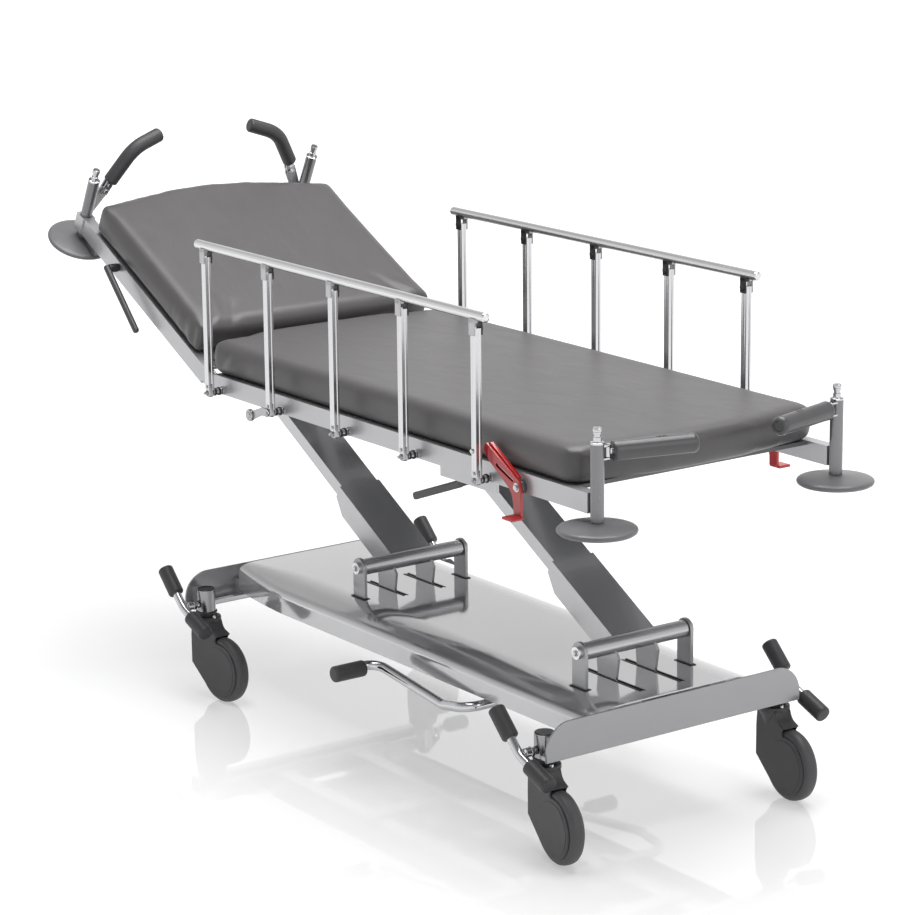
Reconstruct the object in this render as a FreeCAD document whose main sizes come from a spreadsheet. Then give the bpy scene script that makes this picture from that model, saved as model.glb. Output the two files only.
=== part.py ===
import FreeCAD, Part
import Sketcher
import math
import os
import re

# Patient transport stretcher with two parallel lift arms. Millimetres, +Z up, +X to the foot end.
# The floor is z = 0 and the middle of the whole stretcher is x = 0, y = 0.

doc = FreeCAD.newDocument("Stretcher")
sheet = doc.addObject("Spreadsheet::Sheet", "Sizes")

SIZES = {
    # Base: places along x are counted from the middle of the wheelbase
    "base_x": 171, "wheelbase": 1272, "track": 598,
    "socket_radius": 21, "socket_bottom": "=crown_top + 28", "socket_top": "=socket_bottom + 52",
    "stem_top": "=socket_bottom + 11", "channel_bottom": "=socket_bottom + 5",
    "beam_bottom": "=channel_bottom + 19", "channel_top": "=beam_bottom + 26",
    "channel_lip": 8, "channel_web": 22, "channel_width": "=track + 2 * socket_radius + 2",
    "plate_x": "=wheelbase / 2 + socket_radius + 24", "plate_wall": 5,
    "plate_width": "=channel_width + 16", "plate_top": "=deck_top - 5", "plate_round": 60,
    "deck_top": 288, "deck_flat": 310, "shell_width": 444, "shoulder_z": "=deck_top - 16",
    "shell_bottom": "=beam_bottom + 2", "shell_wall": 3,
    "shell_head": "=plate_x - plate_wall - channel_web + 1",
    "beam_y": 110, "beam_width": 40,
    # Pivots of the lift arms
    "head_pivot_x": -245, "foot_pivot_x": 542, "pivot_z": 362, "upright_width": 44,
    "upright_wall": 8, "upright_y": 137, "foot_bar": 6, "foot_bar_z": 218,
    "shaft_radius": 8, "bolt_radius": 13, "bolt_thick": 8,
    "running_gap": 0.05, "side_gap": 2, "slot_gap": 2, "seat_gap": 0.3,
    # Lift arms, measured along the arm from the lower pivot
    "arm_angle": 29.5, "arm_length": 560, "arm_width": 96, "arm_depth": 30, "tube_radius": 18,
    "hub_radius": 17, "cheek_wall": 6, "cheek_reach": 239, "cheek_drop": 40,
    "crank_x": -18, "crank_z": -115, "crank_radius": 20, "crank_slot_head": 92, "crank_slot_foot": 50,
    "pump_block_x": 62, "pump_block_length": 110, "pump_block_z": 232,
    "barrel_radius": 21.5, "barrel_length": 170, "barrel_start": 110, "rod_radius": 9,
    "yoke_length": 60, "yoke_wall": 12, "yoke_drop": 21, "yoke_rise": 31,
    "yoke_play": 1.8, "yoke_bridge": 4,
    # Casters
    "wheel_radius": 75, "wheel_width": 32, "wheel_round": 6, "trail": 62,
    "cover_radius": "=wheel_radius - 12", "cover_wall": 3, "cover_inside": "=wheel_width + 2",
    "cover_front": 36, "cover_high": "=2 * wheel_radius - 12", "crown_top": "=2 * wheel_radius + 22",
    "crown_half": "=ring_radius - 2", "ring_radius": 33, "lip_x": 78, "lip_z": "=2 * wheel_radius + 7",
    "wheel_gap": 2, "axle_radius": 6,
    "swivel_head_near": 6, "swivel_head_far": 0, "swivel_foot_near": -8, "swivel_foot_far": -5,
    # Brake bars and pump bar
    "brake_z": "=socket_bottom + 20", "brake_radius": 6, "pedal_y": 356, "pedal_rod": 9.5, "pedal_bite": 4,
    "grip_radius": 17.5, "grip_length": 70, "upper_start_x": -34, "upper_start_z": 23, "upper_tilt": 44.5,
    "lower_start_x": 25, "lower_start_z": -17, "lower_tilt": 22,
    "pump_x": 330, "pump_z": 214, "pump_rod": 10.5, "pump_arm_y": 264, "pump_dip_x": 245,
    "pump_dip_z": 199, "pump_end_x": 30, "pump_end_z": 229, "pump_grip_x": 6, "pump_grip_z": 226,
    "pump_grip_y": 378, "pump_grip_length": 78, "pump_grip_radius": 17.5, "pump_bend": 34,
    # Platform
    "rail_face": 315, "rail_width": 25, "frame_bottom": 731, "frame_height": 40,
    "frame_head": 548, "cross_width": 25, "cross_height": 32, "cross_head": 528,
    "cross_foot": 588, "cross_count": 5, "panel_thick": 8, "panel_foot": "=post_x - 71", "panel_gap": 0.5,
    "carrier_y": 80, "carrier_width": 30, "carrier_height": 40, "carrier_head": 770,
    "carrier_foot": 430, "hanger_half": 20, "hanger_wall": 10,
    "pad_thick": 72, "pad_head": 560, "pad_foot": "=post_x - 31", "pad_bulge": 38, "pad_round": 30,
    "corner_round": 40,
    "post_x": 806, "post_y": 302, "post_radius": 13.5, "post_drop": 16, "post_rise": 100,
    "spigot_radius": 9, "spigot_length": 28, "spindle_radius": 5, "spindle_length": 18,
    "disc_radius": 78, "disc_rim": 12, "disc_dome": 8, "disc_hub": 14, "disc_height": 21,
    # Backrest, measured along the backrest from its hinge
    "hinge_x": -575, "hinge_z": 751, "back_angle": 27, "back_rail_height": 42, "back_start": 20,
    "lug_radius": 14, "hinge_pin": 6, "back_block": 608, "back_block_length": 32,
    "back_block_width": 32, "back_post": "=back_block + back_block_length / 2", "back_cross_first": 60, "back_cross_last": 530,
    "back_pad_thick": 74, "back_pad_start": 70, "back_pad_end": 598, "back_pad_bulge": 52,
    "back_panel_end": 556,
    # Backrest lever
    "lever_u": 430, "lever_v": 8, "lever_y": 345, "lever_length": 180, "lever_tail": 5,
    "lever_radius": 7.5, "lever_angle": 18.8, "lever_hub": 10, "lever_pin": 4,
    # Head handles, in the plane across the backrest's end
    "handle_y": 258, "handle_v": 76, "handle_u": "=back_block + back_block_length + ear_gap", "ear_wall": 5, "ear_gap": 0.5,
    "handle_start_y": 251, "handle_start_v": 99, "handle_bend_y": 199, "handle_bend_v": 182,
    "handle_tip_y": 123, "handle_tip_v": 201, "handle_start_out": -4, "handle_bend_out": 5,
    "handle_tip_out": 24, "handle_grip": 17, "handle_turn": 75,
    "handle_pin": 5, "bracket_wall": 5,
    # Foot handles
    "swing_z": 850, "swing_y": 281, "swing_x": 810, "swing_angle": 15, "swing_grip": 19.5,
    "swing_start": 10.5, "swing_length": 174, "swing_hub": 7, "swing_pin": 3.5, "swing_half": 10,
    "swing_play": 0.5, "swing_plate": 4,
    # Side rails
    "guard_y": 345, "guard_first": -516, "guard_pitch": 249.5, "guard_count": 5,
    "guard_pivot_z": 739, "guard_height": 303, "guard_tube": 10, "guard_tube_rise": 25,
    "guard_tube_over": 36, "guard_post_x": 16, "guard_post_y": 14, "guard_pin": 3,
    "guard_plate": 4, "guard_plate_gap": 0.5, "guard_bracket_x": 18, "guard_bracket_drop": 14,
    "guard_crown_gap": 1, "stud_radius": 7, "stop_length": 66, "stop_drop": 16, "stop_roller": 13,
    "stop_wall": 4,
    # Red release levers of the side rails
    "latch_x": "=guard_first + (guard_count - 1) * guard_pitch + 110", "latch_z": 744, "latch_y": 328, "latch_wall": 8, "latch_reach": 128,
    "latch_angle": 147, "latch_width": 24, "latch_tail": 56, "latch_tab": 30, "latch_tab_thick": 6,
    "latch_tab_head": 14, "latch_tab_foot": 19,
    "latch_pin": 5, "latch_boss": 12, "latch_hook": 16,
    # Tilt lever below the near frame rail
    "tilt_x": 410, "tilt_z": 718, "tilt_y": -302, "tilt_length": 212, "tilt_angle": 20,
    "tilt_wall": 12, "tilt_height": 15, "tilt_pin": 4, "tilt_plate": 6, "tilt_plate_half": 95,
}
for row, (alias, value) in enumerate(SIZES.items(), 1):
    sheet.set(f"A{row}", alias)
    sheet.set(f"B{row}", str(value))
    sheet.setAlias(f"B{row}", alias)
doc.recompute()

NEAR, FAR = -1, 1
SIDES = {"near": NEAR, "far": FAR}
ENDS = {"head": -1, "foot": 1}
AXIS_TURNS = {
    "x": FreeCAD.Rotation(FreeCAD.Vector(0, 1, 0), 90),
    "y": FreeCAD.Rotation(FreeCAD.Vector(1, 0, 0), -90),
    "z": FreeCAD.Rotation(),
}
parts = []


def size(alias):
    """The number in the sheet's cell with this alias."""
    return float(sheet.get(alias))


def bound(text):
    """An expression in which every size's alias points at the sheet."""
    return re.sub(r"[a-z][a-z_]*[a-z]", lambda found: "Sizes." + found.group(0), str(text))


def place(piece, x, y, z, turn=None):
    """Bind a piece's place to the sheet, with an optional fixed turn."""
    if turn is not None:
        piece.Placement.Rotation = turn
    for letter, text in zip("xyz", (x, y, z)):
        piece.setExpression(f"Placement.Base.{letter}", bound(text))
    return piece


def block(x, y, z):
    """A box between the two expressions given for each axis."""
    piece = doc.addObject("Part::Box", "Block")
    for prop, (low, high) in zip(("Length", "Width", "Height"), (x, y, z)):
        piece.setExpression(prop, bound(f"({high}) - ({low})"))
    return place(piece, x[0], y[0], z[0])


def rod(axis, radius, span, across):
    """A cylinder along an axis: its span on that axis and its place on the two others, in order."""
    piece = doc.addObject("Part::Cylinder", "Rod")
    piece.setExpression("Radius", bound(radius))
    piece.setExpression("Height", bound(f"({span[1]}) - ({span[0]})"))
    spot = list(across)
    spot.insert("xyz".index(axis), span[0])
    return place(piece, *spot, turn=AXIS_TURNS[axis])


def cone(bottom, top, span, across):
    """An upright cone frustum from one radius to another."""
    piece = doc.addObject("Part::Cone", "Cone")
    piece.setExpression("Radius1", bound(bottom))
    piece.setExpression("Radius2", bound(top))
    piece.setExpression("Height", bound(f"({span[1]}) - ({span[0]})"))
    return place(piece, across[0], across[1], span[0])


def fuse(*pieces):
    """One solid from several that touch."""
    joined = doc.addObject("Part::MultiFuse", "Joined")
    joined.Shapes = list(pieces)
    joined.Refine = True
    return joined


def cut(piece, *tools):
    """A piece with the tools taken away."""
    result = doc.addObject("Part::Cut", "Cut")
    result.Base = piece
    result.Tool = tools[0] if len(tools) == 1 else fuse(*tools)
    return result


def outline(plane, points, thick, middle="0"):
    """A closed outline, given as pairs of expressions, padded evenly to both sides of its plane."""
    body = doc.addObject("PartDesign::Body", "Outline")
    sketch = body.newObject("Sketcher::SketchObject", "Sketch")
    base = [item for item in body.Origin.OriginFeatures if item.Role == plane]
    sketch.AttachmentSupport = [(base[0], "")]
    sketch.MapMode = "FlatFace"
    ring = range(len(points))
    rough = [FreeCAD.Vector(math.cos(2 * math.pi * i / len(points)),
                            math.sin(2 * math.pi * i / len(points)), 0) for i in ring]
    for i in ring:
        sketch.addGeometry(Part.LineSegment(rough[i], rough[i - len(points) + 1]))
    for i in ring:
        sketch.addConstraint(Sketcher.Constraint("Coincident", i, 2, (i + 1) % len(points), 1))
    for i, pair in enumerate(points):
        for kind, text in zip(("DistanceX", "DistanceY"), pair):
            number = sketch.addConstraint(Sketcher.Constraint(kind, -1, 1, i, 1, rough[i].x))
            sketch.setExpression(f"Constraints[{number}]", bound(text))
    pad = body.newObject("PartDesign::Pad", "Pad")
    pad.Profile = sketch
    pad.Midplane = True
    pad.setExpression("Length", bound(thick))
    shift = {"XY_Plane": ("0", "0", middle), "XZ_Plane": ("0", middle, "0"), "YZ_Plane": (middle, "0", "0")}
    return place(body, *shift[plane])


def bent_rod(points, radius, bend):
    """A round bar along points, with tangent arcs at its bends."""
    spots = [FreeCAD.Vector(*point) for point in points]
    edges = []
    start = spots[0]
    for before, corner, after in zip(spots, spots[1:], spots[2:]):
        back, ahead = (before - corner).normalize(), (after - corner).normalize()
        half = back.getAngle(ahead) / 2
        reach = bend / math.tan(half)
        first, last = corner + back * reach, corner + ahead * reach
        bisector = (back + ahead).normalize()
        middle = corner + bisector * (bend / math.sin(half) - bend)
        edges.append(Part.LineSegment(start, first).toShape())
        edges.append(Part.Arc(first, middle, last).toShape())
        start = last
    edges.append(Part.LineSegment(start, spots[-1]).toShape())
    path = Part.Wire(edges)
    ring = Part.Wire([Part.Circle(spots[0], spots[1] - spots[0], radius).toShape()])
    feature = doc.addObject("Part::Feature", "BentRod")
    feature.Shape = path.makePipeShell([ring], True, True)
    return feature


def rounded(piece, radius, chosen):
    """A piece with the edges that the test chooses rounded."""
    doc.recompute()
    feature = doc.addObject("Part::Fillet", "Rounded")
    feature.Base = piece
    feature.Edges = [(number, radius, radius) for number, edge in enumerate(piece.Shape.Edges, 1)
                     if chosen(edge)]
    return feature


def runs_along(edge, axis):
    """Whether an edge is straight and parallel to an axis."""
    if not isinstance(edge.Curve, Part.Line):
        return False
    return abs(getattr(edge.Curve.Direction, axis)) > 0.999


def sub_part(label, piece, spot=("0", "0", "0"), turn=None):
    """Name a finished sub-part, and move it from the wheelbase's middle to the model's frame."""
    outer = piece
    if piece.TypeId not in ("Part::MultiFuse", "Part::Cut"):
        outer = doc.addObject("Part::Compound", "Placed")
        outer.Links = [piece]
    outer.Label = label
    place(outer, f"base_x + {spot[0]}", spot[1], spot[2], turn)
    parts.append(outer)
    return outer


def side(face, sign):
    """Both ends of a span across y that lies on one side: sign -1 is the near side."""
    low, high = face
    return (low, high) if sign > 0 else (f"-({high})", f"-({low})")


def about_y(angle):
    """A turn about the y axis, in degrees."""
    return FreeCAD.Rotation(FreeCAD.Vector(0, 1, 0), angle)


# Base shell: folded sheet, open below, with slots for the uprights and the cranks
shell_outer = [("-shell_width / 2", "shell_bottom"), ("-shell_width / 2", "shoulder_z"),
               ("-deck_flat / 2", "deck_top"), ("deck_flat / 2", "deck_top"),
               ("shell_width / 2", "shoulder_z"), ("shell_width / 2", "shell_bottom")]
wall = "shell_wall"
shell_inner = [(f"shell_width / 2 - {wall}", "shell_bottom"),
               (f"shell_width / 2 - {wall}", f"shoulder_z - {wall}"),
               ("deck_flat / 2", f"deck_top - {wall}"), ("-deck_flat / 2", f"deck_top - {wall}"),
               (f"{wall} - shell_width / 2", f"shoulder_z - {wall}"),
               (f"{wall} - shell_width / 2", "shell_bottom")]
shell_middle = "(plate_x - plate_wall - shell_head) / 2"
shell_length = "plate_x - plate_wall + shell_head"
shell = outline("YZ_Plane", shell_outer + shell_inner, shell_length, shell_middle)
slots = []
for end in ("head", "foot"):
    pivot = f"{end}_pivot_x"
    for sign in (NEAR, FAR):
        slots.append(block((f"{pivot} - upright_width / 2 - slot_gap", f"{pivot} + upright_width / 2 + slot_gap"),
                           side(("upright_y - upright_wall / 2 - slot_gap",
                                 "upright_y + upright_wall / 2 + slot_gap"), sign),
                           ("shoulder_z", "deck_top + shell_wall")))
        slots.append(block((f"{pivot} - crank_slot_head", f"{pivot} + crank_slot_foot"),
                           side(("arm_width / 2 - slot_gap", "arm_width / 2 + cheek_wall + slot_gap"), sign),
                           ("shoulder_z", "deck_top + shell_wall")))
for sign in ENDS.values():
    middle = f"{sign} * wheelbase / 2"
    slots.append(block((f"{middle} - brake_radius - slot_gap", f"{middle} + brake_radius + slot_gap"),
                       ("-shell_width / 2 - shell_wall", "shell_width / 2 + shell_wall"),
                       ("shell_bottom - shell_wall", "brake_z + brake_radius + slot_gap")))
sub_part("base_shell", cut(shell, *slots))

# Chassis: two beams, a web with a lip at each end, and the four caster sockets
beams = [block(("-plate_x + plate_wall + channel_web / 2", "plate_x - plate_wall"),
               side(("beam_y - beam_width / 2", "beam_y + beam_width / 2"), sign),
               ("beam_bottom", "deck_top - shell_wall")) for sign in (NEAR, FAR)]
channels, sockets, drills = [], [], []
for sign in ENDS.values():
    outer = "plate_x - plate_wall"
    web = side((f"{outer} - channel_web", outer), sign)
    for half, top in (("shell_width / 2 - shell_wall - seat_gap", "channel_top"),
                      ("channel_width / 2", "channel_bottom + channel_lip")):
        channels.append(block(web, (f"-({half})", half), ("channel_bottom", top)))
    middle = f"{sign} * wheelbase / 2"
    drills.append(rod("y", "brake_radius + running_gap", ("-track", "track"), (middle, "brake_z")))
    for y_sign in (NEAR, FAR):
        spot = (middle, f"{y_sign} * track / 2")
        sockets.append(rod("z", "socket_radius", ("socket_bottom", "socket_top"), spot))
        sockets.append(block(web, side(("track / 2 - socket_radius / 2", "track / 2 + socket_radius / 2"), y_sign),
                             ("channel_bottom", "channel_top")))
        drills.append(rod("z", "shaft_radius + running_gap", ("socket_bottom - 1", "stem_top + seat_gap"), spot))
lugs = [block(("pump_x - 2 * pump_rod", "pump_x + 2 * pump_rod"),
              side(("beam_y - beam_width / 4", "beam_y + beam_width / 4"), sign),
              ("pump_z - 1.7 * pump_rod", "beam_bottom")) for sign in (NEAR, FAR)]
drills.append(rod("y", "pump_rod + running_gap", ("-beam_y - beam_width", "beam_y + beam_width"),
                  ("pump_x", "pump_z")))
bridges = []
for end, sign in ENDS.items():
    start = f"{end}_pivot_x + {-sign} * barrel_start"
    stop = f"{end}_pivot_x + {-sign} * (barrel_start + barrel_length)"
    bridges.append(block((f"({start} + {stop}) / 2 - cross_width", f"({start} + {stop}) / 2 + cross_width"),
                         ("-beam_y + beam_width / 2", "beam_y - beam_width / 2"),
                         ("pivot_z + crank_z", "deck_top - shell_wall")))
    drills.append(rod("x", "barrel_radius + running_gap", ("-track * 2", "track * 2"),
                      ("0", "pivot_z + crank_z")))
sub_part("chassis_frame", cut(fuse(*beams, *channels, *sockets, *lugs, *bridges), *drills))

# End plates with two large round corners
for end, sign in ENDS.items():
    plate = block(side(("plate_x - plate_wall", "plate_x"), sign),
                  ("-plate_width / 2", "plate_width / 2"), ("channel_bottom", "plate_top"))
    top = size("plate_top")
    plate = rounded(plate, size("plate_round"),
                    lambda edge: runs_along(edge, "x") and abs(edge.CenterOfMass.z - top) < 0.1)
    sub_part(f"{end}_end_plate", plate)

# Brackets, shafts and hydraulic cylinders below the deck
for end in ENDS:
    pivot = f"{end}_pivot_x"
    half = "upright_width / 2"
    pieces = [block((f"{pivot} - {half}", f"{pivot} + {half}"),
                    ("-upright_y - upright_wall / 2", "upright_y + upright_wall / 2"),
                    ("foot_bar_z", "foot_bar_z + foot_bar"))]
    for sign in (NEAR, FAR):
        span = side(("upright_y - upright_wall / 2", "upright_y + upright_wall / 2"), sign)
        pieces.append(block((f"{pivot} - {half}", f"{pivot} + {half}"), span, ("foot_bar_z", "pivot_z")))
        pieces.append(rod("y", half, span, (pivot, "pivot_z")))
    bore = rod("y", "shaft_radius + running_gap", ("-track", "track"), (pivot, "pivot_z"))
    sub_part(f"pivot_bracket_{end}", cut(fuse(*pieces), bore))
    outside = "upright_y + upright_wall / 2"
    heads = [rod("y", "bolt_radius", side((outside, f"{outside} + bolt_thick"), sign), (pivot, "pivot_z"))
             for sign in (NEAR, FAR)]
    shaft = rod("y", "shaft_radius", (f"-({outside})", outside), (pivot, "pivot_z"))
    sub_part(f"pivot_shaft_{end}", fuse(shaft, *heads))

for end, sign in ENDS.items():
    away = -sign
    pin_x = f"({end}_pivot_x + crank_x)"
    pin_z = "(pivot_z + crank_z)"
    inner = f"{end}_pivot_x + {away} * barrel_start"
    outer = f"{end}_pivot_x + {away} * (barrel_start + barrel_length)"
    span = (inner, outer) if away > 0 else (outer, inner)
    barrel = rod("x", "barrel_radius", span, ("0", pin_z))
    deep = (inner, f"{outer} - {away} * cheek_wall")
    deep = (f"{inner} - {away}", deep[1]) if away > 0 else (deep[1], f"{inner} - {away}")
    sub_part(f"lift_cylinder_{end}",
             cut(barrel, rod("x", "rod_radius + running_gap", deep, ("0", pin_z))))
    # The rod ends in a yoke with an upright slot that the crank's pin runs in
    near_end = f"{pin_x} + {away} * yoke_length / 2"
    far_end = f"{inner} + {away} * barrel_length / 2"
    rod_span = (near_end, far_end) if away > 0 else (far_end, near_end)
    yoke = block((f"{pin_x} - yoke_length / 2", f"{pin_x} + yoke_length / 2"),
                 ("-yoke_wall", "yoke_wall"), (f"{pin_z} - yoke_drop", f"{pin_z} + yoke_rise"))
    slot = block((f"{pin_x} - shaft_radius - yoke_play", f"{pin_x} + shaft_radius + yoke_play"),
                 ("-yoke_wall - 1", "yoke_wall + 1"),
                 (f"{pin_z} - shaft_radius - 2 * yoke_play", f"{pin_z} + yoke_rise - yoke_bridge"))
    stem = rod("x", "rod_radius", rod_span, ("0", pin_z))
    sub_part(f"piston_rod_{end}", cut(fuse(yoke, stem), slot))

sub_part("hydraulic_pump", block(("pump_block_x", "pump_block_x + pump_block_length"),
                                 ("-beam_y + beam_width / 2", "beam_y - beam_width / 2"),
                                 ("pump_block_z", "deck_top - shell_wall")))

# Lift arms: a box beam with a tube at the lower pivot, a hub at the upper one and two crank cheeks
turn = math.radians(size("arm_angle"))


def in_arm(x, z):
    """A place beside the lower pivot at rest, as (x, z) in the arm's own frame."""
    return x * math.cos(turn) - z * math.sin(turn), x * math.sin(turn) + z * math.cos(turn)


pin_at = in_arm(size("crank_x"), size("crank_z"))
for end in ENDS:
    beam = block(("-arm_length", "0"), ("-arm_width / 2", "arm_width / 2"), ("-arm_depth / 2", "arm_depth / 2"))
    tube_half = "upright_y - upright_wall / 2 - side_gap"
    tube = rod("y", "tube_radius", (f"-({tube_half})", tube_half), ("0", "0"))
    hub = rod("y", "hub_radius", ("-arm_width / 2", "arm_width / 2"), ("-arm_length", "0"))
    cheek_points = [("-cheek_reach", "arm_depth / 2"), ("-cheek_reach", "-arm_depth / 2"),
                    ("-cheek_reach + cheek_drop", "-cheek_drop"), ("-cheek_drop", "-cheek_drop"),
                    (pin_at[0] - 1.6 * size("crank_radius"), pin_at[1]),
                    (pin_at[0], pin_at[1] - size("crank_radius")),
                    (pin_at[0] + size("crank_radius"), pin_at[1] + size("crank_radius") / 3),
                    ("1.6 * tube_radius", "-tube_radius / 1.3"), ("tube_radius / 2", "-tube_radius / 4"),
                    ("0", "arm_depth / 2")]
    cheeks = [outline("XZ_Plane", cheek_points, "cheek_wall", f"{sign} * (arm_width + cheek_wall) / 2")
              for sign in (NEAR, FAR)]
    pin = rod("y", "shaft_radius", ("-arm_width / 2 - cheek_wall", "arm_width / 2 + cheek_wall"), pin_at)
    bores = [rod("y", "shaft_radius + running_gap", ("-track", "track"), spot)
             for spot in (("0", "0"), ("-arm_length", "0"))]
    sub_part(f"lift_arm_{end}", cut(fuse(beam, tube, hub, *cheeks, pin), *bores),
             (f"{end}_pivot_x", "0", "pivot_z"), about_y(size("arm_angle")))

# Casters: a covered fork that swivels in its socket, and a wheel that spins in it
for end, x_sign in ENDS.items():
    for name, y_sign in SIDES.items():
        spot = (f"{x_sign} * wheelbase / 2", f"{y_sign} * track / 2", "0")
        inside, outside = "cover_inside / 2", "cover_inside / 2 + cover_wall"
        shape = [("-cover_front", "wheel_radius"), ("-cover_front", "cover_high"), ("-crown_half", "crown_top"),
                 ("crown_half", "crown_top"), ("lip_x", "lip_z"), ("lip_x + 3 * cover_wall", "lip_z - 4 * cover_wall"),
                 ("trail + cover_radius - 20", "wheel_radius + cover_radius / 2"),
                 ("trail", "wheel_radius"), ("trail - 12", "wheel_radius - cover_radius + 1")]
        full = fuse(outline("XZ_Plane", shape, "cover_inside + 2 * cover_wall"),
                    rod("y", "cover_radius", (f"-({outside})", outside), ("trail", "wheel_radius")))
        pieces = [cut(full, rod("y", "wheel_radius + wheel_gap", (f"-{inside}", inside), ("trail", "wheel_radius")))]
        pieces.append(rod("z", "ring_radius", ("crown_top", "socket_bottom - seat_gap"), ("0", "0")))
        pieces.append(rod("z", "shaft_radius", ("crown_top", "stem_top"), ("0", "0")))
        pieces.append(rod("y", "axle_radius", (f"-({outside})", outside), ("trail", "wheel_radius")))
        angle = math.radians(size(f"swivel_{end}_{name}"))
        swivel = FreeCAD.Rotation(FreeCAD.Vector(0, 0, 1), math.degrees(angle))
        sub_part(f"caster_fork_{end}_{name}", fuse(*pieces), spot, swivel)
        wheel = rod("y", "wheel_radius", ("-wheel_width / 2", "wheel_width / 2"), ("0", "0"))
        wheel = rounded(wheel, size("wheel_round"), lambda edge: isinstance(edge.Curve, Part.Circle))
        bore = rod("y", "axle_radius + running_gap", ("-wheel_width", "wheel_width"), ("0", "0"))
        sub_part(f"caster_wheel_{end}_{name}", cut(wheel, bore),
                 (f"{spot[0]} + {math.cos(angle):.8f} * trail", f"{spot[1]} + ({math.sin(angle):.8f}) * trail",
                  "wheel_radius"), swivel)

# Brake bars: one shaft at each end, through both sockets, with a two-way pedal at each side
for end, x_sign in ENDS.items():
    pieces = [rod("y", "brake_radius", ("-pedal_y", "pedal_y"), ("0", "0"))]
    for y_sign in (NEAR, FAR):
        y = y_sign * size("pedal_y")
        for name, x_way, z_way in (("upper", -1, 1), ("lower", 1, -1)):
            start = FreeCAD.Vector(size(f"{name}_start_x"), y, size(f"{name}_start_z"))
            tilt = math.radians(size(f"{name}_tilt"))
            way = FreeCAD.Vector(x_way * math.cos(tilt), 0, z_way * math.sin(tilt))
            arm = doc.addObject("Part::Feature", "PedalRod")
            arm.Shape = Part.makeCylinder(size("pedal_rod"), start.distanceToPoint(FreeCAD.Vector(0, y, 0)) + size("pedal_bite"),
                                          FreeCAD.Vector(0, y, 0), start - FreeCAD.Vector(0, y, 0))
            grip = doc.addObject("Part::Feature", "PedalGrip")
            grip.Shape = Part.makeCylinder(size("grip_radius"), size("grip_length"), start, way)
            pieces += [arm, grip]
    sub_part(f"brake_bar_{end}", fuse(*pieces), (f"{x_sign} * wheelbase / 2", "0", "brake_z"))

# Pump bar: one bent bar below the shell, with a pedal at each side
grip_y = size("pump_grip_y")
half_path = [(size("pump_grip_x"), -grip_y, size("pump_grip_z")),
             (size("pump_end_x") - size("pump_bend"), -size("pump_arm_y"), size("pump_end_z")),
             (size("pump_dip_x"), -size("pump_arm_y"), size("pump_dip_z")),
             (size("pump_x"), -size("pump_arm_y"), size("pump_z"))]
path = half_path + [(x, -y, z) for x, y, z in reversed(half_path)]
bar = bent_rod(path, size("pump_rod"), size("pump_bend"))
grips = []
for sign in (NEAR, FAR):
    grips.append(rod("y", "pump_grip_radius", side(("pump_grip_y - pump_grip_length", "pump_grip_y"), sign),
                     ("pump_grip_x", "pump_grip_z")))
sub_part("pump_bar", fuse(bar, *grips))

# Platform: side rails, cross bars, the carrier with the hangers of the lift arms, studs and lugs
frame_top = "frame_bottom + frame_height"
cross_top = f"{frame_top} - panel_thick"
pieces = []
for sign in (NEAR, FAR):
    pieces.append(block(("-frame_head", "post_x - post_radius"), side(("rail_face - rail_width", "rail_face"), sign),
                        ("frame_bottom", frame_top)))
    pieces.append(block(("-carrier_head", "carrier_foot"),
                        side(("carrier_y - carrier_width / 2", "carrier_y + carrier_width / 2"), sign),
                        ("frame_bottom - carrier_height", "frame_bottom")))
    lug = side(("rail_face - rail_width / 2 - bracket_wall", "rail_face - rail_width / 2 + bracket_wall"), sign)
    pieces.append(block(("hinge_x", "-frame_head"), lug, ("hinge_z - lug_radius", "hinge_z + lug_radius")))
    pieces.append(rod("y", "lug_radius", lug, ("hinge_x", "hinge_z")))
    for number in range(int(size("guard_count"))):
        x = f"guard_first + {number} * guard_pitch"
        face = "guard_y - guard_post_y / 2 - guard_plate_gap"
        pieces.append(rod("y", "stud_radius", side(("rail_face", face), sign), (x, "guard_pivot_z")))
        pieces.append(rod("y", "guard_pin", side((face, "guard_y + guard_post_y / 2 + 2 * guard_plate"), sign),
                          (x, "guard_pivot_z")))
    pieces.append(rod("y", "latch_boss", side(("rail_face", "latch_y - latch_wall / 2 - guard_plate_gap"), sign),
                      ("latch_x", "latch_z")))
    pieces.append(rod("y", "latch_pin", side(("rail_face", "latch_y + latch_wall / 2 + 1"), sign),
                      ("latch_x", "latch_z")))
    for end in ENDS:
        top_x = f"({end}_pivot_x - {math.cos(turn):.8f} * arm_length)"
        top_z = f"(pivot_z + {math.sin(turn):.8f} * arm_length)"
        hanger = side(("carrier_y - carrier_width / 2 - hanger_wall", "carrier_y - carrier_width / 2"), sign)
        pieces.append(block((f"{top_x} - hanger_half", f"{top_x} + hanger_half"), hanger, (top_z, "frame_bottom")))
        pieces.append(rod("y", "hanger_half", hanger, (top_x, top_z)))
for number in range(int(size("cross_count"))):
    x = f"(-cross_head + {number} * (cross_foot + cross_head) / (cross_count - 1))"
    pieces.append(block((f"{x} - cross_width / 2", f"{x} + cross_width / 2"),
                        ("-rail_face + rail_width", "rail_face - rail_width"), (f"{cross_top} - cross_height", cross_top)))
for end in ENDS:
    top_x = f"({end}_pivot_x - {math.cos(turn):.8f} * arm_length)"
    top_z = f"(pivot_z + {math.sin(turn):.8f} * arm_length)"
    pieces.append(rod("y", "shaft_radius", ("-carrier_y", "carrier_y"), (top_x, top_z)))
plate = ("tilt_y - tilt_wall / 2 - guard_plate_gap - tilt_plate", "tilt_y - tilt_wall / 2 - guard_plate_gap")
pieces.append(block(("tilt_x - tilt_plate_half", "tilt_x + tilt_plate_half"), plate,
                    ("tilt_z - tilt_height / 2", "frame_bottom")))
pieces.append(rod("y", "tilt_pin", (plate[0], "tilt_y + tilt_wall / 2 + 1"), ("tilt_x", "tilt_z")))
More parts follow.
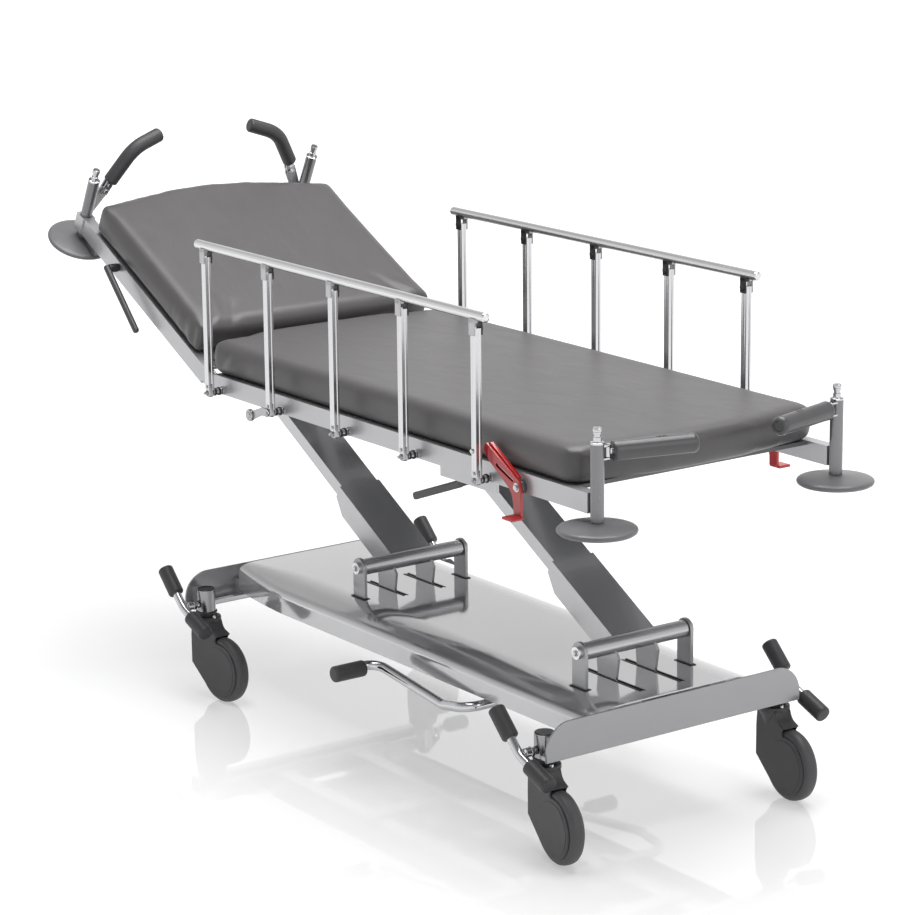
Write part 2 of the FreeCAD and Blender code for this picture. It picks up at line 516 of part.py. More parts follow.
hinge_bore = rod("y", "hinge_pin + running_gap", ("-track", "track"), ("hinge_x", "hinge_z"))
sub_part("platform_frame", cut(fuse(*pieces), hinge_bore))

panel_edge = "rail_face - rail_width - panel_gap"
sub_part("deck_panel", block(("-cross_head - cross_width / 2", "panel_foot"), (f"-({panel_edge})", panel_edge),
                             (cross_top, frame_top)))

pad_low = f"{frame_top} + seat_gap"
main_pad = outline("XY_Plane", [("-pad_head", "-rail_face"), ("pad_foot - pad_bulge", "-rail_face"),
                                ("pad_foot - pad_bulge / 4", "-rail_face / 2"), ("pad_foot", "0"),
                                ("pad_foot - pad_bulge / 4", "rail_face / 2"),
                                ("pad_foot - pad_bulge", "rail_face"), ("-pad_head", "rail_face")],
                   "pad_thick", f"{pad_low} + pad_thick / 2")
foot_x = size("pad_foot") - size("pad_bulge")
main_pad = rounded(main_pad, size("corner_round"),
                   lambda edge: runs_along(edge, "z") and abs(edge.CenterOfMass.x - foot_x) < 0.1)
pad_top = size("frame_bottom") + size("frame_height") + size("seat_gap") + size("pad_thick")
main_pad = rounded(main_pad, size("pad_round"),
                   lambda edge: runs_along(edge, "y") and abs(edge.CenterOfMass.z - pad_top) < 0.1)
sub_part("mattress_main", main_pad)

# Backrest frame: rails, cross bars, corner blocks with handle brackets, hinge eyes and lever pin
half_height = "back_rail_height / 2"
back_cross_top = f"{half_height} - panel_thick"
pieces = []
drills = []
for sign in (NEAR, FAR):
    inner_face = "rail_face - rail_width"
    pieces.append(block(("-back_block", "-back_start"), side((inner_face, "rail_face"), sign),
                        (f"-{half_height}", half_height)))
    middle = "rail_face - rail_width / 2"
    pieces.append(block(("-back_block - back_block_length", "-back_block"),
                        side((f"{middle} - back_block_width / 2", f"{middle} + back_block_width / 2"), sign),
                        (f"-{half_height}", half_height)))
    drills.append(rod("z", "post_radius + running_gap", ("-back_rail_height", "back_rail_height"),
                      ("-back_post", f"{sign} * post_y")))
    for face in ((inner_face, f"{middle} - bracket_wall - ear_gap"), (f"{middle} + bracket_wall + ear_gap", "rail_face")):
        pieces.append(block(("-back_start", "0"), side(face, sign), ("-lug_radius", "lug_radius")))
        pieces.append(rod("y", "lug_radius", side(face, sign), ("0", "0")))
    pieces.append(rod("y", "hinge_pin", side((inner_face, "rail_face"), sign), ("0", "0")))
    plate_u = ("-handle_u - bracket_wall / 2", "-handle_u + bracket_wall / 2")
    shape = [(f"{sign} * ({middle})", "0"), (f"{sign} * ({middle})", half_height),
             (f"{sign} * (handle_y + 2.4 * handle_pin)", "handle_v + 2 * handle_pin"),
             (f"{sign} * (handle_y - 2 * handle_pin)", "handle_v + handle_pin"),
             (f"{sign} * (handle_y - 2 * handle_pin)", "handle_v - 2 * handle_pin"),
             (f"{sign} * ({middle} - back_block_width / 2)", "0")]
    pieces.append(outline("YZ_Plane", shape, "bracket_wall", "-handle_u"))
    drills.append(rod("x", "handle_pin + running_gap", ("-handle_u - 20", "-handle_u + 20"),
                      (f"{sign} * handle_y", "handle_v")))
count = 3
for number in range(count):
    u = f"(back_cross_first + {number} * (back_cross_last - back_cross_first) / {count - 1})"
    pieces.append(block((f"-{u} - cross_width / 2", f"-{u} + cross_width / 2"),
                        ("-rail_face + rail_width", "rail_face - rail_width"),
                        (f"{back_cross_top} - cross_height + panel_thick", back_cross_top)))
pieces.append(rod("y", "lever_pin", ("-lever_y", "-rail_face"), ("-lever_u", "lever_v")))
back_spot = ("hinge_x", "0", "hinge_z")
back_turn = about_y(size("back_angle"))
sub_part("backrest_frame", cut(fuse(*pieces), *drills), back_spot, back_turn)
sub_part("backrest_panel", block(("-back_panel_end", "-back_cross_first + cross_width / 2"),
                                 (f"-({panel_edge})", panel_edge), (back_cross_top, half_height)),
         back_spot, back_turn)

back_low = f"{half_height} + seat_gap"
back_pad = outline("XY_Plane", [("-back_pad_start", "-rail_face"), ("-back_pad_end + back_pad_bulge", "-rail_face"),
                                ("-back_pad_end + back_pad_bulge / 4", "-rail_face / 2"), ("-back_pad_end", "0"),
                                ("-back_pad_end + back_pad_bulge / 4", "rail_face / 2"),
                                ("-back_pad_end + back_pad_bulge", "rail_face"), ("-back_pad_start", "rail_face")],
                   "back_pad_thick", f"{back_low} + back_pad_thick / 2")
back_top = size("back_rail_height") / 2 + size("seat_gap") + size("back_pad_thick")
start_x = -size("back_pad_start")
back_pad = rounded(back_pad, size("pad_round"),
                   lambda edge: runs_along(edge, "y") and abs(edge.CenterOfMass.z - back_top) < 0.1)
sub_part("mattress_backrest", back_pad, back_spot, back_turn)

# Corner posts with their spigots and spindles, and the bumper discs that turn on the spindles
for end, x_sign in ENDS.items():
    for name, y_sign in SIDES.items():
        low, high = "-post_drop", "post_rise + frame_height"
        post = fuse(rod("z", "post_radius", (low, high), ("0", "0")),
                    rod("z", "spigot_radius", (high, f"{high} + spigot_length"), ("0", "0")),
                    rod("z", "spindle_radius", (f"{low} - spindle_length", low), ("0", "0")))
        top = f"{low} - seat_gap"
        rim_top = f"{top} - disc_height + disc_rim"
        disc = fuse(rod("z", "disc_radius", (f"{top} - disc_height", rim_top), ("0", "0")),
                    cone("disc_radius", "disc_hub", (rim_top, f"{rim_top} + disc_dome"), ("0", "0")),
                    rod("z", "disc_hub", (rim_top, top), ("0", "0")))
        disc = cut(disc, rod("z", "spindle_radius + running_gap",
                             (f"{low} - spindle_length - seat_gap", low), ("0", "0")))
        if end == "foot":
            spot, tilt = ("post_x", f"{y_sign} * post_y", "frame_bottom"), FreeCAD.Rotation()
            # A clevis on the inner side of the post holds the swinging handle's pin
            pin_x, pin_y = "swing_x - post_x", f"{y_sign} * (swing_y - post_y)"
            middle = "swing_z - frame_bottom"
            reach = ("0", pin_y) if y_sign < 0 else (pin_y, "0")
            inside = "(swing_half + swing_play)"
            plates = []
            for height in ((f"{middle} - {inside} - swing_plate", f"{middle} - {inside}"),
                           (f"{middle} + {inside}", f"{middle} + {inside} + swing_plate")):
                plates.append(block((f"{pin_x} - swing_hub", f"{pin_x} + swing_hub"), reach, height))
                plates.append(rod("z", "swing_hub", height, (pin_x, pin_y)))
            pin = rod("z", "swing_pin", (f"{middle} - {inside}", f"{middle} + {inside}"), (pin_x, pin_y))
            post = fuse(post, *plates, pin)
        else:
            # The head posts stand square to the backrest, as far along it as back_post
            lean = math.radians(size("back_angle"))
            u, v = "back_post", "frame_height / 2"
            spot = (f"hinge_x - {math.cos(lean):.8f} * {u} - {math.sin(lean):.8f} * {v}",
                    f"{y_sign} * post_y",
                    f"hinge_z + {math.sin(lean):.8f} * {u} - {math.cos(lean):.8f} * {v}")
            tilt = back_turn
        sub_part(f"corner_post_{end}_{name}", post, spot, tilt)
        sub_part(f"bumper_disc_{end}_{name}", disc, spot, tilt)

# Backrest release lever beside the near rail
drop = math.radians(size("lever_angle"))
way = FreeCAD.Vector(math.cos(drop), 0, -math.sin(drop))
stick = doc.addObject("Part::Feature", "Stick")
stick.Shape = Part.makeCylinder(size("lever_radius"), size("lever_length") + size("lever_tail"),
                                way * -size("lever_tail"), way)
hub = rod("y", "lever_hub", ("-lever_hub", "lever_y - rail_face - ear_gap"), ("0", "0"))
hollow = rod("y", "lever_pin + running_gap", ("-lever_pin / 4", "lever_y - rail_face"), ("0", "0"))
sub_part("backrest_lever", cut(fuse(stick, hub), hollow),
         (f"hinge_x - {math.cos(math.radians(size('back_angle'))):.8f} * lever_u"
          f" + {math.sin(math.radians(size('back_angle'))):.8f} * lever_v", "-lever_y",
          f"hinge_z + {math.sin(math.radians(size('back_angle'))):.8f} * lever_u"
          f" + {math.cos(math.radians(size('back_angle'))):.8f} * lever_v"), back_turn)

# Head push handles: two ears on the bracket's bolt, and a bent grip
for name, sign in SIDES.items():
    ears = []
    for way in (-1, 1):
        low = f"-handle_u + {way} * (bracket_wall / 2 + ear_gap + ear_wall / 2) - ear_wall / 2"
        ears.append(rod("x", "2 * handle_pin", (low, f"{low} + ear_wall"), (f"{sign} * handle_y", "handle_v")))
        away = FreeCAD.Vector(0, sign * (size("handle_start_y") - size("handle_y")),
                              size("handle_start_v") - size("handle_v"))
        strap = doc.addObject("Part::Box", "Strap")
        strap.setExpression("Length", bound("ear_wall"))
        strap.Width = 4 * size("handle_pin")
        strap.Height = away.Length + size("handle_grip")
        lean = math.degrees(math.atan2(-away.y, away.z))
        strap.Placement = FreeCAD.Placement(
            FreeCAD.Vector(-size("handle_u") + way * (size("bracket_wall") / 2 + size("ear_gap") + size("ear_wall") / 2)
                           - size("ear_wall") / 2, sign * size("handle_y"), size("handle_v")),
            FreeCAD.Rotation(FreeCAD.Vector(1, 0, 0), lean))
        strap.Placement = strap.Placement.multiply(FreeCAD.Placement(
            FreeCAD.Vector(0, -2 * size("handle_pin"), 0), FreeCAD.Rotation()))
        ears.append(strap)
    bolt = rod("x", "handle_pin", ("-handle_u - bracket_wall - ear_wall", "-handle_u + bracket_wall + ear_wall"),
               (f"{sign} * handle_y", "handle_v"))
    grip = bent_rod([(-size("handle_u") - size(f"handle_{spot}_out"), sign * size(f"handle_{spot}_y"),
                      size(f"handle_{spot}_v")) for spot in ("start", "bend", "tip")], size("handle_grip"), size("handle_turn"))
    sub_part(f"push_handle_{name}", fuse(*ears, bolt, grip), back_spot, back_turn)

# Foot handles: straight grips that swing out on an upright pin beside the corner post
for name, sign in SIDES.items():
    hub = rod("z", "swing_hub", ("-swing_half", "swing_half"), ("0", "0"))
    lean = math.radians(size("swing_angle"))
    way = FreeCAD.Vector(math.sin(lean), -sign * math.cos(lean), 0)
    neck = doc.addObject("Part::Feature", "Neck")
    neck.Shape = Part.makeCylinder(size("swing_hub") - 1, size("swing_start") + size("side_gap"), FreeCAD.Vector(), way)
    grip = doc.addObject("Part::Feature", "Grip")
    grip.Shape = Part.makeCylinder(size("swing_grip"), size("swing_length"), way * size("swing_start"), way)
    bore = rod("z", "swing_pin + running_gap", ("-swing_half", "swing_half"), ("0", "0"))
    sub_part(f"foot_handle_{name}", cut(fuse(hub, neck, grip), bore),
             ("swing_x", f"{sign} * swing_y", "swing_z"))

# Side rails: five posts on studs, and a top tube with a clevis over each post
for name, sign in SIDES.items():
    posts_x = [f"(guard_first + {number} * guard_pitch)" for number in range(int(size("guard_count")))]
    top_z = "(guard_pivot_z + guard_height)"
    width = ("guard_y - guard_post_y / 2", "guard_y + guard_post_y / 2")
    for number, x in enumerate(posts_x, 1):
        half = "guard_post_x / 2"
        pieces = [block((f"-{half}", half), side(width, sign), ("0", "guard_height")),
                  rod("y", half, side(width, sign), ("0", "0")),
                  rod("y", half, side(width, sign), ("0", "guard_height"))]
        if number == 2:
            inner = f"{width[1]} + guard_plate_gap"
            shape = [("-stop_length", "-stop_drop - stop_roller / 2"), ("-stop_length", "stop_roller / 2 - stop_drop"),
                     ("-stop_length / 3", half), ("0", half), (half, "0"), ("0", f"-{half}"),
                     ("-stop_length / 3", f"-{half}")]
            pieces.append(outline("XZ_Plane", shape, "stop_wall", f"{sign} * ({inner} + stop_wall / 2)"))
            pieces.append(rod("y", half, side((width[1], inner), sign), ("0", "0")))
            pieces.append(rod("y", "stop_roller", side((inner, f"{inner} + 2 * stop_wall"), sign),
                              ("-stop_length", "-stop_drop")))
        holes = [rod("y", "guard_pin + running_gap", ("-track", "track"), ("0", z)) for z in ("0", "guard_height")]
        sub_part(f"guard_post_{name}_{number}", cut(fuse(*pieces), *holes), (x, "0", "guard_pivot_z"))
    tube = rod("x", "guard_tube", (f"{posts_x[0]} - guard_tube_over", f"{posts_x[-1]} + guard_tube_over"),
               (f"{sign} * guard_y", f"{top_z} + guard_tube_rise"))
    pieces = [tube]
    for x in posts_x:
        across = ("guard_y - guard_post_y / 2 - guard_plate_gap", "guard_y + guard_post_y / 2 + guard_plate_gap")
        span_x = (f"{x} - guard_bracket_x / 2", f"{x} + guard_bracket_x / 2")
        crown = (f"{top_z} + guard_post_x / 2 + guard_crown_gap", f"{top_z} + guard_tube_rise")
        pieces.append(block(span_x, side((f"{across[0]} - guard_plate", f"{across[1]} + guard_plate"), sign), crown))
        for plate in ((f"{across[0]} - guard_plate", across[0]), (across[1], f"{across[1]} + guard_plate")):
            pieces.append(block(span_x, side(plate, sign), (f"{top_z} - guard_bracket_drop", crown[1])))
        pieces.append(rod("y", "guard_pin", side((across[0], across[1]), sign), (x, top_z)))
    sub_part(f"guard_tube_{name}", fuse(*pieces))

# Red release levers: a blade up to the last post, a tail and a foot tab
for name, sign in SIDES.items():
    rise = math.radians(size("latch_angle"))
    wall = size("latch_wall")
    way = FreeCAD.Vector(math.cos(rise), 0, math.sin(rise))
    blade = doc.addObject("Part::Box", "Blade")
    blade.setExpression("Length", bound("latch_reach"))
    blade.setExpression("Width", bound("latch_wall"))
    blade.setExpression("Height", bound("latch_width"))
    blade.Placement = FreeCAD.Placement(FreeCAD.Vector(0, -wall / 2, 0), about_y(-size("latch_angle")))
    blade.Placement = blade.Placement.multiply(FreeCAD.Placement(
        FreeCAD.Vector(0, 0, -size("latch_width") / 2), FreeCAD.Rotation()))
    boss = rod("y", "latch_width / 2", ("-latch_wall / 2", "latch_wall / 2"), ("0", "0"))
    tip = doc.addObject("Part::Feature", "Tip")
    tip.Shape = Part.makeCylinder(size("latch_width") / 2, wall, way * size("latch_reach") - FreeCAD.Vector(0, wall / 2, 0),
                                  FreeCAD.Vector(0, 1, 0))
    tail = block(("-latch_width / 2", "latch_width / 2"), ("-latch_wall / 2", "latch_wall / 2"), ("-latch_tail", "0"))
    tab = block(("-latch_tab_head", "latch_tab_foot"), side(("-latch_wall / 2", "latch_tab"), sign),
                ("-latch_tail - latch_tab_thick", "-latch_tail"))
    hole = rod("y", "latch_pin + running_gap", ("-latch_wall", "latch_wall"), ("0", "0"))
    sub_part(f"guard_latch_{name}", cut(fuse(blade, boss, tip, tail, tab), hole),
             ("latch_x", f"{sign} * latch_y", "latch_z"))

# Tilt lever below the near frame rail
lever = fuse(block(("-tilt_length", "0"), ("-tilt_wall / 2", "tilt_wall / 2"), ("-tilt_height / 2", "tilt_height / 2")),
             rod("y", "tilt_height / 2", ("-tilt_wall / 2", "tilt_wall / 2"), ("0", "0")),
             rod("y", "tilt_height / 2", ("-tilt_wall / 2", "tilt_wall / 2"), ("-tilt_length", "0")))
hole = rod("y", "tilt_pin + running_gap", ("-tilt_wall", "tilt_wall"), ("0", "0"))
sub_part("tilt_lever", cut(lever, hole), ("tilt_x", "tilt_y", "tilt_z"), about_y(-size("tilt_angle")))

doc.recompute()
for item in doc.Objects:
    if "Invalid" in item.State or "Error" in item.State:
        raise RuntimeError(f"{item.Name} ({item.Label}) failed: {item.getStatusString()}")
os.makedirs("parts", exist_ok=True)
for part in parts:
    shape = part.Shape
    if shape.isNull() or not shape.isValid():
        raise RuntimeError(f"{part.Label} has no valid shape")
    if len(shape.Solids) != 1:
        raise RuntimeError(f"{part.Label} is {len(shape.Solids)} solids")
    shape.exportStep(f"parts/{part.Label}.step")
whole = Part.makeCompound([part.Shape for part in parts]).BoundBox
for part in parts:
    box = part.Shape.BoundBox
    print(f"{part.Label}: x {box.XMin:.1f} {box.XMax:.1f} y {box.YMin:.1f} {box.YMax:.1f} "
          f"z {box.ZMin:.1f} {box.ZMax:.1f}")
print(f"{len(parts)} parts, x {whole.XMin:.1f} to {whole.XMax:.1f}, "
      f"y {whole.YMin:.1f} to {whole.YMax:.1f}, z {whole.ZMin:.1f} to {whole.ZMax:.1f}")
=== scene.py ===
"""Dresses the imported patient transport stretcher: finishes, rounded sheet metal, pads, grips, casters."""

import logging
import math
from dataclasses import dataclass, field
from enum import Enum
from typing import Callable, Iterable, Sequence

import bmesh
import bpy
from mathutils import Matrix, Vector


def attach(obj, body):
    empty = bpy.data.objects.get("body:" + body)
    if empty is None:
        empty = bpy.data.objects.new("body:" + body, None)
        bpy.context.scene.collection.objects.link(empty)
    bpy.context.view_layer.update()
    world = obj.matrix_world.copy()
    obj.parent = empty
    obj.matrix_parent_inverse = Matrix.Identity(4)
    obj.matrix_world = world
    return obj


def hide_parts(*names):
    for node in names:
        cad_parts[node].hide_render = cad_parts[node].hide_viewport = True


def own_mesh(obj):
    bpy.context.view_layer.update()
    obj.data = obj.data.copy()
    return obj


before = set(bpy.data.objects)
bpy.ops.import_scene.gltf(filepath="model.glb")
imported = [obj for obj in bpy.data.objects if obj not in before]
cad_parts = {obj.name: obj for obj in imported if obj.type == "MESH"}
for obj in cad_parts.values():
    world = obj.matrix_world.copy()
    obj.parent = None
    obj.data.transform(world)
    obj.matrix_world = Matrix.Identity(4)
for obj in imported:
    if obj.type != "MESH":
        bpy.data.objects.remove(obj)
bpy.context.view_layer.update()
LOG = logging.getLogger("stretcher")

# Places are in millimetres from the middle of the wheelbase, as in the part's own frame before its shift
SHIFT_X = 171.0
WORLD = Matrix.Scale(0.001, 4) @ Matrix.Translation((SHIFT_X, 0.0, 0.0))
HINGE = (-575.0, 0.0, 751.0)
BACK_ANGLE = math.radians(27.0)
BACKREST = WORLD @ Matrix.Translation(HINGE) @ Matrix.Rotation(BACK_ANGLE, 4, "Y")
# Where the caster stems stand, and the posts of the two ends across
CASTER_X = 636.0
CASTER_Y = 299.0
POST_Y = 302.0


class Side(Enum):
    """The two long sides, by the sign of y. The camera looks at the near one."""

    NEAR = -1
    FAR = 1

    @property
    def label(self) -> str:
        """The name used in node and piece names."""
        return self.name.lower()


class End(Enum):
    """The two ends, by the sign of x."""

    HEAD = -1
    FOOT = 1

    @property
    def label(self) -> str:
        """The name used in node and piece names."""
        return self.name.lower()


class Axis(Enum):
    """The three axes as unit vectors."""

    X = (1.0, 0.0, 0.0)
    Y = (0.0, 1.0, 0.0)
    Z = (0.0, 0.0, 1.0)

    @property
    def vector(self) -> Vector:
        """This axis as a vector."""
        return Vector(self.value)


def linear(code: str) -> tuple[float, float, float, float]:
    """Turn an sRGB hex colour into linear values.

    Args:
        code: six hex digits.

    Returns:
        Linear red, green, blue and an alpha of 1.
    """
    shares = [int(code[i:i + 2], 16) / 255 for i in (0, 2, 4)]
    red, green, blue = (c / 12.92 if c <= 0.04045 else ((c + 0.055) / 1.055) ** 2.4 for c in shares)
    return red, green, blue, 1.0


def add_node(tree: bpy.types.NodeTree, kind: str, settings: dict | None = None,
             links: dict | None = None) -> bpy.types.Node:
    """Add one shader node with its settings and links.

    Args:
        tree: the material's node tree.
        kind: the node's type name.
        settings: input values and properties by name, or inputs by number.
        links: the output socket that feeds each input, by name or number.

    Returns:
        The new node.
    """
    node = tree.nodes.new(kind)
    for name, value in (settings or {}).items():
        if isinstance(name, int) or name in node.inputs:
            node.inputs[name].default_value = value
        else:
            setattr(node, name, value)
    for name, socket in (links or {}).items():
        tree.links.new(socket, node.inputs[name])
    return node


def per_mm(length: float) -> float:
    """The texture scale whose feature is this many millimetres, in a scene in metres."""
    return 1000.0 / length


@dataclass(frozen=True)
class Finish:
    """A surface finish. Subclasses add their own pattern.

    Attributes:
        name: the material's plain name.
        slot: the name of a material slot; not used.
        color: sRGB hex colour.
        roughness: micro-roughness of the surface.
        metallic: 1 for bare metal.
        coat: strength of a clear top coat.
    """

    name: str
    slot: str
    color: str
    roughness: float = 0.5
    metallic: float = 0.0
    coat: float = 0.0

    def material(self) -> bpy.types.Material:
        """Build the material once and return it."""
        known = bpy.data.materials.get(self.name)
        if known is not None:
            return known
        made = bpy.data.materials.new(self.name)
        made.use_nodes = True
        tree = made.node_tree
        shader = tree.nodes["Principled BSDF"]
        shader.inputs["Base Color"].default_value = linear(self.color)
        shader.inputs["Roughness"].default_value = self.roughness
        shader.inputs["Metallic"].default_value = self.metallic
        shader.inputs["Coat Weight"].default_value = self.coat
        shader.inputs["Coat Roughness"].default_value = 0.04
        self.pattern(tree, shader)
        return made

    def pattern(self, tree: bpy.types.NodeTree, shader: bpy.types.Node) -> None:
        """Add nothing: a finish with no pattern of its own."""

    def tint(self, tree: bpy.types.NodeTree, factor: bpy.types.NodeSocket, shader: bpy.types.Node,
             spread: float) -> None:
        """Vary the colour a little around its own value.

        Args:
            tree: the node tree.
            factor: a socket from 0 to 1.
            shader: the shader that takes the colour.
            spread: how far the value goes up and down, as a share.
        """
        base = linear(self.color)
        dark = tuple(c * (1 - spread) for c in base[:3]) + (1.0,)
        light = tuple(min(1.0, c * (1 + spread)) for c in base[:3]) + (1.0,)
        mix = add_node(tree, "ShaderNodeMix", {"data_type": "RGBA", 6: dark, 7: light}, {0: factor})
        tree.links.new(mix.outputs[2], shader.inputs["Base Color"])

    def rough(self, tree: bpy.types.NodeTree, factor: bpy.types.NodeSocket, shader: bpy.types.Node,
              spread: float) -> None:
        """Vary the roughness around its own value.

        Args:
            tree: the node tree.
            factor: a socket from 0 to 1.
            shader: the shader that takes the roughness.
            spread: how far it goes up and down.
        """
        reach = add_node(tree, "ShaderNodeMapRange", {
            "To Min": max(0.0, self.roughness - spread), "To Max": min(1.0, self.roughness + spread)},
            {"Value": factor})
        tree.links.new(reach.outputs[0], shader.inputs["Roughness"])


@dataclass(frozen=True)
class PowderCoat(Finish):
    """Sprayed and baked powder on steel: faint orange peel about 1 mm across, and thin haze."""

    peel_mm: float = 1.1
    peel_depth: float = 0.00003

    def pattern(self, tree: bpy.types.NodeTree, shader: bpy.types.Node) -> None:
        """Add orange peel, haze and a fine metallic fleck."""
        place = add_node(tree, "ShaderNodeTexCoord").outputs["Object"]
        peel = add_node(tree, "ShaderNodeTexNoise", {"Scale": per_mm(self.peel_mm), "Detail": 1.0},
                        {"Vector": place})
        bump = add_node(tree, "ShaderNodeBump", {"Strength": 0.35, "Distance": self.peel_depth},
                        {"Height": peel.outputs[0]})
        tree.links.new(bump.outputs[0], shader.inputs["Normal"])
        haze = add_node(tree, "ShaderNodeTexNoise", {"Scale": per_mm(160.0), "Detail": 3.0},
                        {"Vector": place})
        self.rough(tree, haze.outputs[0], shader, 0.05)
        self.tint(tree, haze.outputs[0], shader, 0.05)


@dataclass(frozen=True)
class BrushedMetal(Finish):
    """Drawn or brushed metal, with fine lines along the piece."""

    along: Axis = Axis.X
    line_mm: float = 0.6

    def pattern(self, tree: bpy.types.NodeTree, shader: bpy.types.Node) -> None:
        """Add fine lines that run along the piece."""
        place = add_node(tree, "ShaderNodeTexCoord").outputs["Object"]
        stretch = tuple(0.02 if part else 1.0 for part in self.along.value)
        mapped = add_node(tree, "ShaderNodeMapping", {"Scale": stretch}, {"Vector": place})
        lines = add_node(tree, "ShaderNodeTexNoise", {"Scale": per_mm(self.line_mm), "Detail": 4.0},
                         {"Vector": mapped.outputs[0]})
        self.rough(tree, lines.outputs[0], shader, 0.09)
        self.tint(tree, lines.outputs[0], shader, 0.06)
        bump = add_node(tree, "ShaderNodeBump", {"Strength": 0.12, "Distance": 0.00002},
                        {"Height": lines.outputs[0]})
        tree.links.new(bump.outputs[0], shader.inputs["Normal"])


@dataclass(frozen=True)
class Plated(Finish):
    """Polished chrome plating: a mirror with faint clouds of fingerprints."""

    def pattern(self, tree: bpy.types.NodeTree, shader: bpy.types.Node) -> None:
        """Add faint clouds to the gloss."""
        place = add_node(tree, "ShaderNodeTexCoord").outputs["Object"]
        cloud = add_node(tree, "ShaderNodeTexNoise", {"Scale": per_mm(25.0), "Detail": 2.0},
                         {"Vector": place})
        self.rough(tree, cloud.outputs[0], shader, 0.03)


@dataclass(frozen=True)
class Moulded(Finish):
    """Moulded plastic or rubber from a spark-eroded tool: fine even grain."""

    grain_mm: float = 0.7
    depth: float = 0.00004

    def pattern(self, tree: bpy.types.NodeTree, shader: bpy.types.Node) -> None:
        """Add fine grain and slight rub marks."""
        place = add_node(tree, "ShaderNodeTexCoord").outputs["Object"]
        grain = add_node(tree, "ShaderNodeTexNoise", {"Scale": per_mm(self.grain_mm), "Detail": 2.0},
                         {"Vector": place})
        bump = add_node(tree, "ShaderNodeBump", {"Strength": 0.5, "Distance": self.depth},
                        {"Height": grain.outputs[0]})
        tree.links.new(bump.outputs[0], shader.inputs["Normal"])
        rub = add_node(tree, "ShaderNodeTexNoise", {"Scale": per_mm(30.0), "Detail": 5.0}, {"Vector": place})
        self.rough(tree, rub.outputs[0], shader, 0.08)
        self.tint(tree, rub.outputs[0], shader, 0.1)


@dataclass(frozen=True)
class CoatedCloth(Finish):
    """Polyurethane-coated stretch cloth: fine leather-like pebble, soft sheen, slight creases."""

    pebble_mm: float = 1.6
    crease_mm: float = 90.0

    def pattern(self, tree: bpy.types.NodeTree, shader: bpy.types.Node) -> None:
        """Add the pebble, soft creases with painted shade in their hollows, and uneven gloss."""
        place = add_node(tree, "ShaderNodeTexCoord").outputs["Object"]
        pebble = add_node(tree, "ShaderNodeTexVoronoi", {"Scale": per_mm(self.pebble_mm)}, {"Vector": place})
        mapped = add_node(tree, "ShaderNodeMapping", {"Scale": (1.0, 2.2, 1.0)}, {"Vector": place})
        crease = add_node(tree, "ShaderNodeTexNoise", {
            "Scale": per_mm(self.crease_mm), "Detail": 4.0, "Roughness": 0.55, "Distortion": 0.6},
            {"Vector": mapped.outputs[0]})
        soft = add_node(tree, "ShaderNodeBump", {"Strength": 0.35, "Distance": 0.0025},
                        {"Height": crease.outputs[0]})
        bump = add_node(tree, "ShaderNodeBump", {"Strength": 0.25, "Distance": 0.00012},
                        {"Height": pebble.outputs["Distance"], "Normal": soft.outputs[0]})
        tree.links.new(bump.outputs[0], shader.inputs["Normal"])
        self.rough(tree, crease.outputs[0], shader, 0.07)
        # Painted shade and light: the colour follows the crease height, a little darker in the hollows and
        # lighter on the ridges
        self.tint(tree, crease.outputs[0], shader, 0.06)
        shader.inputs["Sheen Weight"].default_value = 0.12
        shader.inputs["Sheen Roughness"].default_value = 0.4


# Steel under a high-gloss silver powder coat with clear lacquer: it mirrors the arms that stand on it
SHELL_COAT = PowderCoat("gloss_silver_powder_coat", "shell_paint", "c8c8ca", 0.1, 0.42, 1.0, 2.5, 0.00001)
# The same silver in satin: soft, even highlights along the tubes and on the end plates
PLATE_COAT = PowderCoat("silver_plate_powder_coat", "shell_paint", "9a9a9c", 0.3, 0.55, 0.5)
FRAME_COAT = PowderCoat("satin_silver_powder_coat", "frame_paint", "b6b6b8", 0.34, 0.6, 0.2)
BRACKET_COAT = PowderCoat("silver_bracket_powder_coat", "frame_paint", "a2a2a4", 0.3, 0.6, 0.3)
POST_COAT = PowderCoat("silver_post_powder_coat", "frame_paint", "7c7c7e", 0.28, 0.6, 0.3)
# Silver on the arms too, glossier: their upper faces mirror the dark underside of the platform
ARM_COAT = PowderCoat("silver_arm_powder_coat", "arm_paint", "b8b8ba", 0.24, 0.72, 0.4)
# Drawn aluminium, clear anodised: bright with fine lines along its length
RAIL_METAL = BrushedMetal("anodised_aluminium_tube", "rail_aluminium", "d2d2d3", 0.22, 1.0, 0.0, Axis.X, 0.5)
POST_METAL = BrushedMetal("anodised_aluminium_profile", "rail_aluminium", "c6c6c8", 0.2, 1.0, 0.0,
                          Axis.Z, 0.5)
# Turned and zinc-plated steel
STEEL = BrushedMetal("zinc_plated_steel", "steel", "a2a2a4", 0.26, 1.0, 0.0, Axis.Y, 0.8)
SHAFT_METAL = BrushedMetal("ground_steel_tube", "steel", "e4e4e6", 0.36, 1.0, 0.0, Axis.Y, 0.8)
SLEEVE_METAL = BrushedMetal("turned_steel_sleeve", "steel", "909092", 0.22, 1.0, 0.0, Axis.Z, 0.8)
CHROME = Plated("chrome_plated_steel", "chrome", "bcbcbe", 0.12, 1.0)
# Blackened steel and black nylon for small fittings
DARK_STEEL = Moulded("phosphated_steel", "dark_steel", "4a4a4c", 0.45, 0.3)
BLACK_NYLON = Moulded("black_nylon", "dark_steel", "1d1d1f", 0.42)
